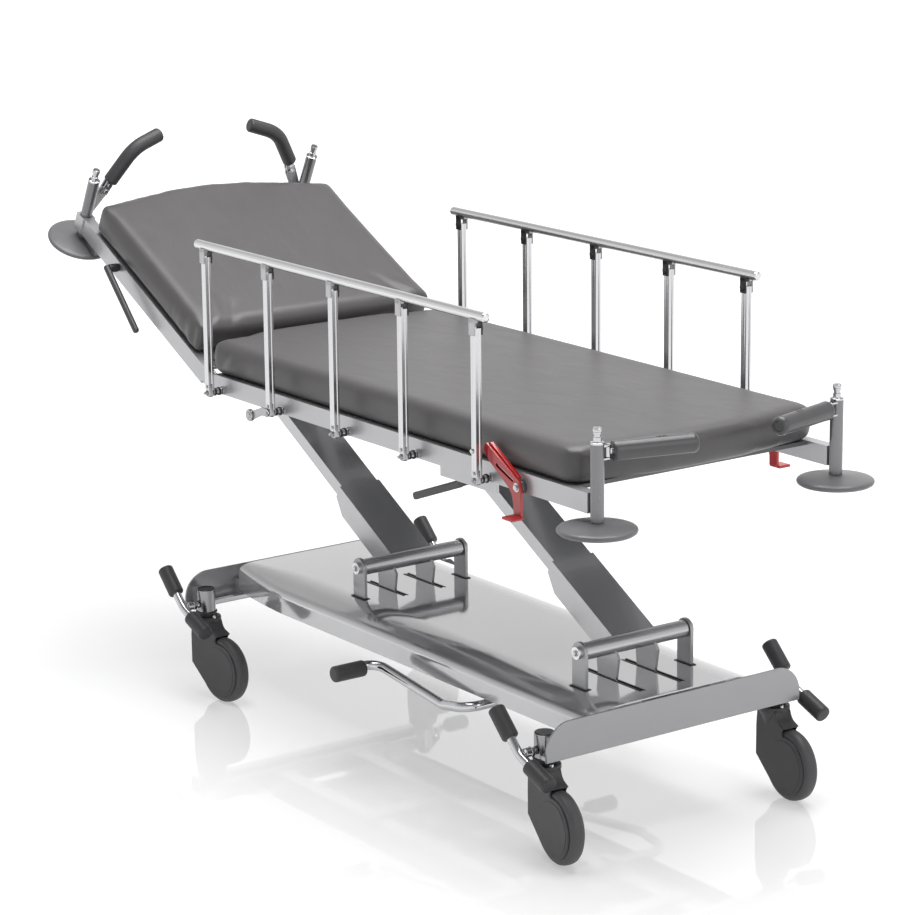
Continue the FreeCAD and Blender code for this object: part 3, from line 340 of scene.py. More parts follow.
# Grey glass-filled nylon of the caster covers, and the softer grey tread
CASTER_NYLON = Moulded("grey_nylon", "caster_plastic", "3c3c3e", 0.46, 0.0, 0.0, 1.2, 0.00006)
TREAD = Moulded("grey_polyurethane_tread", "tyre", "4e4e50", 0.5, 0.0, 0.0, 1.0, 0.00004)
BUMPER = Moulded("graphite_polyethylene", "bumper_plastic", "6c6c6e", 0.36, 0.0, 0.0, 1.0, 0.00005)
GRIP = Moulded("charcoal_soft_grip", "grip_rubber", "38383a", 0.5, 0.0, 0.0, 0.9, 0.00006)
HANDLE_GRIP = Moulded("grey_soft_grip", "grip_rubber", "4a4a4c", 0.34, 0.0, 0.1, 0.9, 0.00004)
RED_COAT = PowderCoat("red_powder_coat", "red_paint", "b20f16", 0.3, 0.0, 0.5)
LAMINATE = Moulded("grey_compact_laminate", "laminate", "6a6a6c", 0.5)
VINYL = CoatedCloth("grey_coated_stretch_cloth", "vinyl", "514f50", 0.4)


def bevel(part: bmesh.types.BMesh, edges: list, offset: float, segments: int, clamp: bool = False) -> None:
    """Round edges.

    Args:
        part: the mesh.
        edges: the edges to round.
        offset: how far the rounding reaches, in the mesh's own unit.
        segments: steps in the rounding.
        clamp: stop where two roundings meet.
    """
    bmesh.ops.bevel(part, geom=edges, offset=offset, segments=segments, affect="EDGES", profile=0.5,
                    clamp_overlap=clamp, material=-1)


class Shape:
    """A mesh in the making, in millimetres in a local frame."""

    def __init__(self, place: Matrix = WORLD) -> None:
        """Start an empty shape.

        Args:
            place: turns the local frame into the row frame in metres.
        """
        self.place = place
        self.bm = bmesh.new()

    def join(self, part: bmesh.types.BMesh, turn: Matrix | None = None) -> None:
        """Add a finished part to this shape.

        Args:
            part: the part, which is freed.
            turn: where the part goes in the local frame.
        """
        if turn is not None:
            bmesh.ops.transform(part, matrix=turn, verts=part.verts)
        scrap = bpy.data.meshes.new("scrap")
        part.to_mesh(scrap)
        part.free()
        self.bm.from_mesh(scrap)
        bpy.data.meshes.remove(scrap)

    def block(self, start: Sequence[float], stop: Sequence[float], radius: float = 1.5, segments: int = 3,
              turn: Matrix | None = None) -> None:
        """Add a box with rounded edges.

        Args:
            start: one corner.
            stop: the opposite corner.
            radius: edge radius.
            segments: steps in the rounding.
            turn: where it goes in the local frame.
        """
        part = bmesh.new()
        bmesh.ops.create_cube(part, size=1.0)
        spans = [abs(b - a) for a, b in zip(start, stop)]
        middle = Vector([(a + b) / 2 for a, b in zip(start, stop)])
        bmesh.ops.scale(part, vec=spans, verts=part.verts)
        bmesh.ops.translate(part, vec=middle, verts=part.verts)
        if radius > 0:
            bevel(part, part.edges[:], min(radius, min(spans) * 0.49), segments)
        self.join(part, turn)

    def lathe(self, profile: Sequence[tuple[float, float]], base: Sequence[float] = (0, 0, 0),
              toward: Sequence[float] = (0, 0, 1), steps: int = 40) -> None:
        """Add a turned part.

        Args:
            profile: (radius, height) pairs from one end of the axis to the other.
            base: where height 0 is.
            toward: the direction of the axis.
            steps: segments around.
        """
        part = bmesh.new()
        verts = [part.verts.new((r, 0.0, z)) for r, z in profile]
        edges = [part.edges.new(pair) for pair in zip(verts, verts[1:])]
        bmesh.ops.spin(part, geom=verts + edges, cent=(0, 0, 0), axis=(0, 0, 1), angle=2 * math.pi,
                       steps=steps, use_merge=True)
        bmesh.ops.remove_doubles(part, verts=part.verts, dist=0.001)
        bmesh.ops.recalc_face_normals(part, faces=part.faces)
        turn = Matrix.Translation(base) @ Vector(toward).to_track_quat("Z", "Y").to_matrix().to_4x4()
        self.join(part, turn)

    def pill(self, start: Sequence[float], stop: Sequence[float], radius: float, round_end: float = 3.0,
             steps: int = 32) -> None:
        """Add a round bar with rounded ends.

        Args:
            start: one end.
            stop: the other end.
            radius: its radius.
            round_end: the radius of the end's rounding.
            steps: segments around.
        """
        way = Vector(stop) - Vector(start)
        length = way.length
        turns = [math.pi / 2 * i / 4 for i in range(5)]
        first = [(radius - round_end + round_end * math.sin(a), round_end - round_end * math.cos(a))
                 for a in turns]
        last = [(r, length - z) for r, z in reversed(first)]
        self.lathe([(0.0, 0.0)] + first + last + [(0.0, length)], start, way, steps)

    def plate(self, outline: Sequence[tuple[float, float]], low: float, high: float, rim: float = 0.6,
              corners: Callable[[Vector], float] | None = None, plane: Axis = Axis.Y) -> None:
        """Add a flat plate cut to an outline.

        Args:
            outline: points in the plane: (x, z) for plane Y, (x, y) for plane Z.
            low: one face's place across the plane.
            high: the other face's place.
            rim: radius along the cut edges.
            corners: how far the bend at a corner of the outline reaches, or 0.
            plane: the axis that the plate lies across.
        """
        part = bmesh.new()
        low, high = sorted((low, high))
        spread = {
            Axis.Y: lambda p, d: (p[0], d, p[1]),
            Axis.Z: lambda p, d: (p[0], p[1], d),
        }[plane]
        face = part.faces.new([part.verts.new(spread(p, low)) for p in outline])
        moved = bmesh.ops.extrude_face_region(part, geom=[face])
        verts = [v for v in moved["geom"] if isinstance(v, bmesh.types.BMVert)]
        bmesh.ops.translate(part, vec=plane.vector * (high - low), verts=verts)
        bmesh.ops.recalc_face_normals(part, faces=part.faces)
        if corners is not None:
            bends: dict[float, list] = {}
            for edge in part.edges:
                a, b = (v.co for v in edge.verts)
                reach = corners((a + b) / 2) if abs((a - b).normalized().dot(plane.vector)) > 0.99 else 0.0
                if reach > 0:
                    bends.setdefault(reach, []).append(edge)
            for reach, edges in bends.items():
                bevel(part, edges, reach, 8)
        if rim > 0:
            edges = [e for e in part.edges if len(e.link_faces) == 2 and e.calc_face_angle(0) > 1.2]
            bevel(part, edges, rim, 2)
        self.join(part)

    def loft(self, rows: Sequence[Sequence[Sequence[float]]]) -> None:
        """Add a closed body through rows of points.

        Args:
            rows: rings with the same number of points, from one end to the other.
        """
        part = bmesh.new()
        rings = [[part.verts.new(point) for point in row] for row in rows]
        for a, b in zip(rings, rings[1:]):
            for i, (first, second) in enumerate(zip(a, b)):
                j = (i + 1) % len(a)
                part.faces.new((first, a[j], b[j], second))
        part.faces.new(rings[0])
        part.faces.new(rings[-1])
        bmesh.ops.recalc_face_normals(part, faces=part.faces)
        self.join(part)

    def bar(self, points: Sequence[Sequence[float]], radius: float, bend: float, sides: int = 24,
            round_end: float = 1.0) -> None:
        """Add a round bar bent at points: straight runs extruded from a ring, and spun elbows.

        Args:
            points: the corners of its centre line.
            radius: the bar's radius.
            bend: the centre line's radius at each bend.
            sides: segments around.
            round_end: rounding of the two ends.
        """
        spots = [Vector(p) for p in points]
        part = bmesh.new()
        ring = bmesh.ops.create_circle(part, segments=sides, radius=radius)["verts"]
        turn = (spots[1] - spots[0]).to_track_quat("Z", "Y").to_matrix().to_4x4()
        bmesh.ops.transform(part, matrix=Matrix.Translation(spots[0]) @ turn, verts=ring)
        loop = list({e for v in ring for e in v.link_edges})
        here = spots[0]
        ends = [loop]
        for before, corner, after in zip(spots, spots[1:], spots[2:]):
            back, ahead = (before - corner).normalized(), (after - corner).normalized()
            half = back.angle(ahead) / 2
            reach = bend / math.tan(half)
            first = corner + back * reach
            loop = self._run(part, loop, first - here)
            centre = corner + (back + ahead).normalized() * (bend / math.sin(half))
            axis = (-back).cross(ahead).normalized()
            spun = bmesh.ops.spin(part, geom=loop, cent=centre, axis=axis, angle=math.pi - 2 * half, steps=10,
                                  use_merge=False)
            loop = [e for e in spun["geom_last"] if isinstance(e, bmesh.types.BMEdge)]
            here = corner + ahead * reach
        loop = self._run(part, loop, spots[-1] - here)
        ends.append(loop)
        caps = []
        for edges in ends:
            caps += bmesh.ops.edgeloop_fill(part, edges=edges)["faces"]
        bmesh.ops.remove_doubles(part, verts=part.verts, dist=0.0005)
        bmesh.ops.recalc_face_normals(part, faces=part.faces)
        rims = list({e for face in caps if face.is_valid for e in face.edges})
        bevel(part, rims, min(round_end, radius * 0.9), 4)
        self.join(part)

    @staticmethod
    def _run(part: bmesh.types.BMesh, loop: list, way: Vector) -> list:
        """Extrude a ring of edges by a vector and return the new ring.

        Args:
            part: the mesh.
            loop: the ring's edges.
            way: where it goes.

        Returns:
            The edges of the new ring.
        """
        made = bmesh.ops.extrude_edge_only(part, edges=loop)["geom"]
        verts = [v for v in made if isinstance(v, bmesh.types.BMVert)]
        bmesh.ops.translate(part, vec=way, verts=verts)
        return [e for e in made if isinstance(e, bmesh.types.BMEdge)]

    def mesh(self, name: str, sharp: float = 38.0) -> bpy.types.Mesh:
        """Finish the mesh in the row frame.

        Args:
            name: the mesh's name.
            sharp: edges above this angle, in degrees, stay sharp.

        Returns:
            The mesh, in metres.
        """
        bmesh.ops.transform(self.bm, matrix=self.place, verts=self.bm.verts)
        made = bpy.data.meshes.new(name)
        self.bm.to_mesh(made)
        self.bm.free()
        return shaded(made, sharp)


def shaded(mesh: bpy.types.Mesh, sharp: float) -> bpy.types.Mesh:
    """Shade a mesh smooth with its large faces kept flat, so that the rounding alone carries the highlight.

    Args:
        mesh: the mesh.
        sharp: edges above this angle, in degrees, stay sharp.

    Returns:
        The same shape with weighted normals.
    """
    mesh.shade_smooth()
    mesh.set_sharp_from_angle(angle=math.radians(sharp))
    item = bpy.data.objects.new(mesh.name, mesh)
    bpy.context.scene.collection.objects.link(item)
    weigh = item.modifiers.new("weigh", "WEIGHTED_NORMAL")
    weigh.keep_sharp = True
    bpy.context.view_layer.update()
    made = bpy.data.meshes.new_from_object(item.evaluated_get(bpy.context.evaluated_depsgraph_get()))
    bpy.data.objects.remove(item)
    return made


def carve(body: Shape, tools: Shape, name: str, sharp: float = 30.0) -> bpy.types.Mesh:
    """Cut shapes out of another shape.

    Args:
        body: the shape that is cut.
        tools: what is taken out of it.
        name: the mesh's name.
        sharp: edges above this angle, in degrees, stay sharp.

    Returns:
        The cut mesh, in metres.
    """
    target = bpy.data.objects.new("carve_target", body.mesh("carve_target"))
    tool = bpy.data.objects.new("carve_tool", tools.mesh("carve_tool"))
    for item in (target, tool):
        bpy.context.scene.collection.objects.link(item)
    cut = target.modifiers.new("cut", "BOOLEAN")
    cut.operation = "DIFFERENCE"
    cut.object = tool
    cut.solver = "EXACT"
    bpy.context.view_layer.update()
    made = bpy.data.meshes.new_from_object(target.evaluated_get(bpy.context.evaluated_depsgraph_get()))
    for item in (target, tool):
        bpy.data.objects.remove(item)
    made.name = name
    return shaded(made, sharp)


def fit(name: str, mesh: bpy.types.Mesh, finish: Finish, body: str,
        stands_for: Iterable[str] = ()) -> bpy.types.Object:
    """Make a finished mesh a piece of the stretcher.

    Args:
        name: the piece's name.
        mesh: its mesh in the row frame.
        finish: its finish.
        body: the body that it rides on.
        stands_for: the CAD nodes that it replaces.

    Returns:
        The new object.
    """
    piece = bpy.data.objects.new(name, mesh)
    bpy.context.scene.collection.objects.link(piece)
    mesh.materials.clear()
    mesh.materials.append(finish.material())
    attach(piece, body)
    if stands_for:
        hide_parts(*stands_for)
    LOG.info("%s on %s: %d faces, %s", name, body, len(mesh.polygons), finish.name)
    return piece


def keep(node: str, finish: Finish) -> None:
    """Give a CAD node that stays a better finish.

    Args:
        node: the node's name.
        finish: its finish.
    """
    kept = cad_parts[node]
    kept.data.materials.clear()
    kept.data.materials.append(finish.material())
    LOG.info("%s kept, %s", node, finish.name)


def rounded_copy(node: str, finish: Finish, body: str, radius: float, segments: int = 2) -> bpy.types.Object:
    """Copy a CAD node and round its edges, as folded and welded sheet has them.

    Args:
        node: the node, which the copy replaces.
        finish: the copy's finish.
        body: the body that it rides on.
        radius: edge radius in millimetres.
        segments: steps in the rounding.

    Returns:
        The new piece.
    """
    part = bmesh.new()
    part.from_mesh(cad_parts[node].data)
    bmesh.ops.remove_doubles(part, verts=part.verts, dist=0.00002)
    bmesh.ops.dissolve_limit(part, angle_limit=math.radians(1.0), verts=part.verts, edges=part.edges)
    edges = [e for e in part.edges if len(e.link_faces) == 2 and e.calc_face_angle(0) > math.radians(40)]
    bevel(part, edges, radius / 1000, segments, True)
    made = bpy.data.meshes.new(f"{node}_rounded")
    part.to_mesh(made)
    part.free()
    return fit(f"{node}_rounded", shaded(made, 32.0), finish, body, [node])


@dataclass
class Base:
    """The wheeled base: shell, end plates, sockets, brackets and what is below the deck.

    Attributes:
        crown_rise: how far the deck rises in its middle, at crown_x, over crown_half to each side.
        taper_x: where the shell starts to narrow towards the head end, over taper_run.
        head_shift: at the head end, how far the sides come in, and the deck's flat and the shoulder grow.
        shoulder_bends: reach of the bends at the shoulder and the deck's edge, each with its change at the
            head end.
        bare_corner: opposite corners of the box, at each side, where the head web would stand bare.
    """

    socket_radius: float = 21.0
    deck_z: float = 288.0
    flat_half: float = 155.0
    shell_half: float = 222.0
    shell_wall: float = 3.0
    shell_low: float = 226.0
    shoulder_z: float = 272.0
    shell_head: float = 655.0
    shell_foot: float = 676.0
    crown_rise: float = 7.0
    crown_x: float = -150.0
    crown_half: float = 540.0
    taper_x: float = -430.0
    taper_run: float = 225.0
    head_shift: tuple[float, float, float] = (23.0, 14.0, 11.0)
    shoulder_bends: tuple[tuple[float, float], ...] = ((15.0, 5.0), (30.0, -22.0))
    bare_corner: tuple[tuple[float, float, float], ...] = ((-700.0, 192.0, 213.5), (-560.0, 270.0, 300.0))
    pivots: dict[End, float] = field(default_factory=lambda: {End.HEAD: -245.0, End.FOOT: 542.0})
    slot_ends: dict[End, float] = field(default_factory=lambda: {End.HEAD: 50.0, End.FOOT: 92.0})
    pivot_z: float = 362.0

    def build(self) -> None:
        """Build and dress every piece of the base."""
        self.sheet_metal()
        self.socket_caps()
        self.deck_seals()
        self.bolts()
        for node in ("piston_rod_head", "piston_rod_foot"):
            keep(node, CHROME)
        for node in ("lift_cylinder_head", "lift_cylinder_foot", "hydraulic_pump"):
            keep(node, DARK_STEEL)

    def sheet_metal(self) -> None:
        """Build the shell, and round the end plates, the chassis and the brackets."""
        self.shell()
        for end in End:
            rounded_copy(f"{end.label}_end_plate", PLATE_COAT, "base", 1.2, 3)
            rounded_copy(f"pivot_bracket_{end.label}", BRACKET_COAT, "base", 1.2, 3)
            keep(f"pivot_shaft_{end.label}", SHAFT_METAL)
        self.trim(rounded_copy("chassis_frame", FRAME_COAT, "base", 1.0, 2))

    def trim(self, chassis: bpy.types.Object) -> None:
        """Take off the corners of the head web that the narrow end of the shell would leave bare.

        Args:
            chassis: the rounded chassis.
        """
        body, corners = Shape(Matrix.Identity(4)), Shape()
        body.bm.from_mesh(chassis.data)
        for sign in (-1, 1):
            start, stop = ((x, sign * y, z) for x, y, z in self.bare_corner)
            corners.block(start, stop, 0.0)
        chassis.data = carve(body, corners, "chassis_trimmed", 32.0)
        chassis.data.materials.append(FRAME_COAT.material())

    def crown(self, x: float) -> float:
        """How far the deck rises above its ends at a place along x."""
        return self.crown_rise * max(0.0, 1.0 - ((x - self.crown_x) / self.crown_half) ** 2)

    def section(self, x: float) -> list[tuple[float, float, float]]:
        """The shell's cross-section at a place along x: folded sheet, narrower and squarer at the head end.

        Args:
            x: the place.

        Returns:
            A closed ring of points.
        """
        taper = min(1.0, max(0.0, (self.taper_x - x) / self.taper_run)) ** 1.5
        side_in, flat_out, shoulder_up = (shift * taper for shift in self.head_shift)
        half, flat = self.shell_half - side_in, self.flat_half + flat_out
        top = self.deck_z + self.crown(x)
        shoulder = self.shoulder_z + 0.6 * self.crown(x) + shoulder_up
        reaches = [reach + change * taper for reach, change in self.shoulder_bends]
        rings = []
        for inset in (0.0, self.shell_wall):
            corners = [Vector(p) for p in ((half - inset, self.shell_low), (half - inset, shoulder - inset),
                                           (flat, top - inset), (0.0, top - inset))]
            run = [corners[0]]
            for before, corner, after, reach in zip(corners, corners[1:], corners[2:], reaches):
                a = corner + (before - corner).normalized() * reach
                b = corner + (after - corner).normalized() * reach
                run += [a.lerp(corner, t / 6).lerp(corner.lerp(b, t / 6), t / 6) for t in range(7)]
            rings.append([(x, -y, z) for y, z in run] + [(x, y, z) for y, z in reversed(run)])
        return rings[0] + rings[1][::-1]

    def shell(self) -> None:
        """Fold the shell from sheet, and cut the slots in its deck."""
        sheet = Shape()
        places = [-self.shell_head + 15.0 * i for i in range(16)] + [-370.0 + 60.0 * i for i in range(17)]
        sheet.loft([self.section(x) for x in places + [self.shell_foot]])
        slots = Shape()
        for end, pivot in self.pivots.items():
            for sign in (-1, 1):
                for low_x, high_x, low_y, high_y in ((-24, 24, 131, 143), (-92, self.slot_ends[end], 46, 56)):
                    slots.block((pivot + low_x, sign * low_y, self.shoulder_z),
                                (pivot + high_x, sign * high_y, self.deck_z + 20), 0.0)
        fit("base_shell_folded", carve(sheet, slots, "base_shell_folded"), SHELL_COAT, "base", ["base_shell"])

    def socket_caps(self) -> None:
        """Add the black cap on each caster socket, and the bright sleeve below it."""
        r = self.socket_radius
        for end in End:
            for side in Side:
                spot = (end.value * CASTER_X, side.value * CASTER_Y)
                cap = Shape()
                cap.lathe([(0, 0), (r - 0.6, 0), (r - 0.6, 1.6), (r - 2, 2.8), (0, 3.4)], (*spot, 252.0))
                cap.lathe([(0, 0), (r + 3.5, 0), (r + 3.5, 2.2), (r + 2.5, 3), (0, 3)], (*spot, 199.7))
                fit(f"socket_cap_{end.label}_{side.label}", cap.mesh("cap"), BLACK_NYLON, "base")
                sleeve = Shape()
                sleeve.lathe([(r, 0), (r + 0.35, 0.4), (r + 0.35, 48), (r - 0.6, 49.5), (r - 0.6, 0)],
                             (*spot, 202.6), steps=48)
                fit(f"socket_sleeve_{end.label}_{side.label}", sleeve.mesh("sleeve"), SLEEVE_METAL, "base")

    def deck_seals(self) -> None:
        """Add the black strips along the crank slots and the gaskets round the uprights."""
        for end, pivot in self.pivots.items():
            top = self.deck_z + self.crown(pivot)
            seals = Shape()
            for sign in (-1, 1):
                for y in (45.8 * sign, 56.2 * sign):
                    seals.block((pivot - 94, y - 2, top - 3),
                                (pivot + self.slot_ends[end] + 2, y + 2, top + 1), 0.8, 2)
                y = 137.0 * sign
                for gap in (-1, 1):
                    seals.block((pivot - 26.2, y + gap * 6.4 - 2, top - 0.2),
                                (pivot + 26.2, y + gap * 6.4 + 2, top + 1.2), 0.6, 2)
                    seals.block((pivot + gap * 24.3 - 2, y - 8.4, top - 0.2),
                                (pivot + gap * 24.3 + 2, y + 8.4, top + 1.2), 0.6, 2)
            fit(f"deck_seals_{end.label}", seals.mesh("seals"), BLACK_NYLON, "base")

    def bolts(self) -> None:
        """Add the washer and hexagon bolt on each end of the arm shafts."""
        for end, pivot in self.pivots.items():
            for side in Side:
                bolt = Shape()
                face = (pivot, side.value * 149.0, self.pivot_z)
                out = (0, side.value, 0)
                bolt.lathe([(0, 0), (7.5, 0), (7.5, 0.9), (7.0, 1.3), (0, 1.3)], face, out)
                bolt.lathe([(0, 1.3), (5.2, 1.3), (5.2, 4.4), (4.4, 5.0), (0, 5.2)], face, out, 6)
                fit(f"shaft_bolt_{end.label}_{side.label}", bolt.mesh("bolt", 20), CHROME, "base")


@dataclass
class Caster:
    """One swivel caster with a full side cover."""

    end: End
    side: Side
    trail: float = 62.0
    wheel_radius: float = 75.0
    wheel_half: float = 16.0
    cover_radius: float = 63.0
    cover_half: float = 20.0
    neck_radius: float = 33.0
    turns: dict[tuple[End, Side], float] = field(default_factory=lambda: {
        (End.HEAD, Side.NEAR): 6.0, (End.HEAD, Side.FAR): 0.0,
        (End.FOOT, Side.NEAR): -8.0, (End.FOOT, Side.FAR): -5.0})

    @property
    def tag(self) -> str:
        """The end and side, as in node names."""
        return f"{self.end.label}_{self.side.label}"

    @property
    def place(self) -> Matrix:
        """The caster's own frame: on the floor below its stem, turned as it stands at rest."""
        turn = Matrix.Rotation(math.radians(self.turns[self.end, self.side]), 4, "Z")
        return WORLD @ Matrix.Translation((self.end.value * CASTER_X, self.side.value * CASTER_Y, 0.0)) @ turn

    def build(self) -> None:
        """Build the fork with its covers, the swivel ring and the wheel."""
        self.fork()
        self.wheel()

    def fork(self) -> None:
        """Build the closed cover with its raised disc and neck, the bearing plate and the chrome bolt."""
        body = f"caster_fork_{self.tag}"
        r, trail, axle = self.cover_radius, self.trail, self.wheel_radius
        half, neck = self.cover_half, self.neck_radius
        arc = [math.radians(a) for a in range(-130, 95, 4)]
        outline = [(trail + r * math.cos(a), axle + r * math.sin(a)) for a in arc]
        outline += [(52, 144), (57, 151.8), (60.5, 153.5), (60.5, 156), (52, 159.5), (43, 163), (37, 169),
                    (33.5, 176), (31, 184), (-31, 184), (-34.5, 160), (-36, 140), (-36, 76)]
        cover, pocket = Shape(self.place), Shape(self.place)
        cover.plate(outline, -half, half, 2.8)
        pocket.lathe([(0, 0), (77, 0), (77, 34), (0, 34)], (trail, -17, axle), (0, 1, 0), 72)
        fit(f"{body}_cover", carve(cover, pocket, "cover", 34.0), CASTER_NYLON, body, [body])
        trim = Shape(self.place)
        trim.lathe([(0, 140), (19.4, 140), (20, 148), (22.5, 158), (26.5, 168), (31, 176), (neck, 181),
                    (neck, 187.2), (neck - 0.8, 189.2), (neck - 3, 190), (0, 190)], steps=48)
        for sign in (-1, 1):
            trim.lathe([(0, 0), (54.4, 0), (55.2, 0.4), (54.6, 1.0), (0, 1.0)],
                       (trail, sign * (half - 0.2), axle), (0, sign, 0), 72)
        fit(f"{body}_neck", trim.mesh("neck"), CASTER_NYLON, body)
        ring = Shape(self.place)
        ring.lathe([(0, 189), (23.5, 189), (24.2, 190), (24.2, 194), (22.5, 195), (22.5, 199.4), (0, 199.4)])
        fit(f"{body}_bearing", ring.mesh("bearing"), BLACK_NYLON, body)
        bolt = Shape(self.place)
        bolt.lathe([(0, 0), (4.6, 0), (4.6, 3), (3.6, 5), (1.6, 6), (0, 6.2)], (27.0, 0, 189.4), steps=24)
        fit(f"{body}_bolt", bolt.mesh("bolt"), CHROME, body)

    def wheel(self) -> None:
        """Build the tread with rounded shoulders and the hub disc."""
        body = f"caster_wheel_{self.tag}"
        r, h = self.wheel_radius, self.wheel_half
        tread = Shape(self.place)
        profile = [(54, -h + 1), (60, -h), (66, -h + 0.3), (70.5, -h + 2.2), (73.6, -h + 6),
                   (r - 0.2, -h + 11), (r, 0), (r - 0.2, h - 11), (73.6, h - 6), (70.5, h - 2.2),
                   (66, h - 0.3), (60, h), (54, h - 1), (54, -h + 1)]
        tread.lathe(profile, (self.trail, 0, r), (0, 1, 0), 72)
        fit(f"{body}_tread", tread.mesh("tread"), TREAD, body, [body])
        hub = Shape(self.place)
        hub.lathe([(8, -13), (50, -12), (54, -14), (54, 14), (50, 12), (8, 13), (8, -13)],
                  (self.trail, 0, r), (0, 1, 0), 48)
        fit(f"{body}_hub", hub.mesh("hub"), BLACK_NYLON, body)


@dataclass
class BrakeBar:
    """The brake shaft across one end, with a rocking pedal at each side."""

    end: End
    pedal_y: float = 356.0
    height: float = 220.0
    grip_radius: float = 17.5
    grip_length: float = 70.0
    rod_radius: float = 9.5
    rod_bend: float = 66.0
    shaft_radius: float = 5.9
    upper: tuple[float, float, float] = (-34.0, 23.0, 44.5)
    lower: tuple[float, float, float] = (25.0, -17.0, 22.0)

    def build(self) -> None:
        """Build the shaft, the bent pedal rods, the nuts and the grips."""
        body = f"brake_bar_{self.end.label}"
        place = WORLD @ Matrix.Translation((self.end.value * CASTER_X, 0, self.height))
        metal, grips = Shape(place), Shape(place)
        metal.bar([(0, -350, 0), (0, 350, 0)], self.shaft_radius, 10, 6)
        for side in Side:
            y = side.value * self.pedal_y
            spots = []
            for (x, z, tilt), way in ((self.upper, -1), (self.lower, 1)):
                cos, sin = math.cos(math.radians(tilt)), math.sin(math.radians(tilt))
                grips.pill((x, y, z), (x + way * self.grip_length * cos, y, z - way * self.grip_length * sin),
                           self.grip_radius, 5.0, 40)
                spots.append((x + way * 12 * cos, y, z - way * 12 * sin))
            metal.bar([spots[0], (-7.0, y, -3.6), spots[1]], self.rod_radius, self.rod_bend, 24)
            for reach, radius, long, sides in ((322, 9.0, 6, 32), (328, 11.0, 8, 6), (336, 9.6, 13, 32)):
                metal.lathe([(0, 0), (radius - 0.8, 0), (radius, 0.8), (radius, long - 0.8),
                             (radius - 0.8, long), (0, long)], (0, side.value * reach, 0),
                            (0, side.value, 0), sides)
        fit(f"{body}_rods", metal.mesh("rods", 30), CHROME, body, [body])
        fit(f"{body}_grips", grips.mesh("grips"), GRIP, body)


@dataclass
class PumpBar:
    """The bent bar below the base with a foot pedal at each side."""

    pivot: tuple[float, float] = (330.0, 214.0)
    arm_y: float = 264.0
    dip: tuple[float, float] = (245.0, 199.0)
    end: tuple[float, float] = (30.0, 229.0)
    grip: tuple[float, float, float] = (6.0, 378.0, 226.0)
    grip_length: float = 78.0
    grip_radius: float = 17.5
    rod_radius: float = 10.5
    bend: float = 34.0

    def build(self) -> None:
        """Build the chromed bar and the two grips."""
        gx, gy, gz = self.grip
        half = [(gx, -gy + 4, gz), (self.end[0] - self.bend, -self.arm_y, self.end[1]),
                (self.dip[0], -self.arm_y, self.dip[1]), (self.pivot[0], -self.arm_y, self.pivot[1])]
        metal = Shape()
        metal.bar(half + [(x, -y, z) for x, y, z in reversed(half)], self.rod_radius, self.bend, 28)
        fit("pump_bar_tube", metal.mesh("tube"), CHROME, "pump_bar", ["pump_bar"])
        grips = Shape()
        for sign in (-1, 1):
            grips.pill((gx, sign * (gy - self.grip_length), gz), (gx, sign * gy, gz), self.grip_radius,
                       5.0, 40)
        fit("pump_bar_grips", grips.mesh("grips"), GRIP, "pump_bar")


@dataclass
class LiftArms:
    """The two parallel arms, as rounded copies of the CAD solids."""

    def build(self) -> None:
        """Round both arms."""
        for end in End:
            rounded_copy(f"lift_arm_{end.label}", ARM_COAT, f"lift_arm_{end.label}", 1.2, 2)


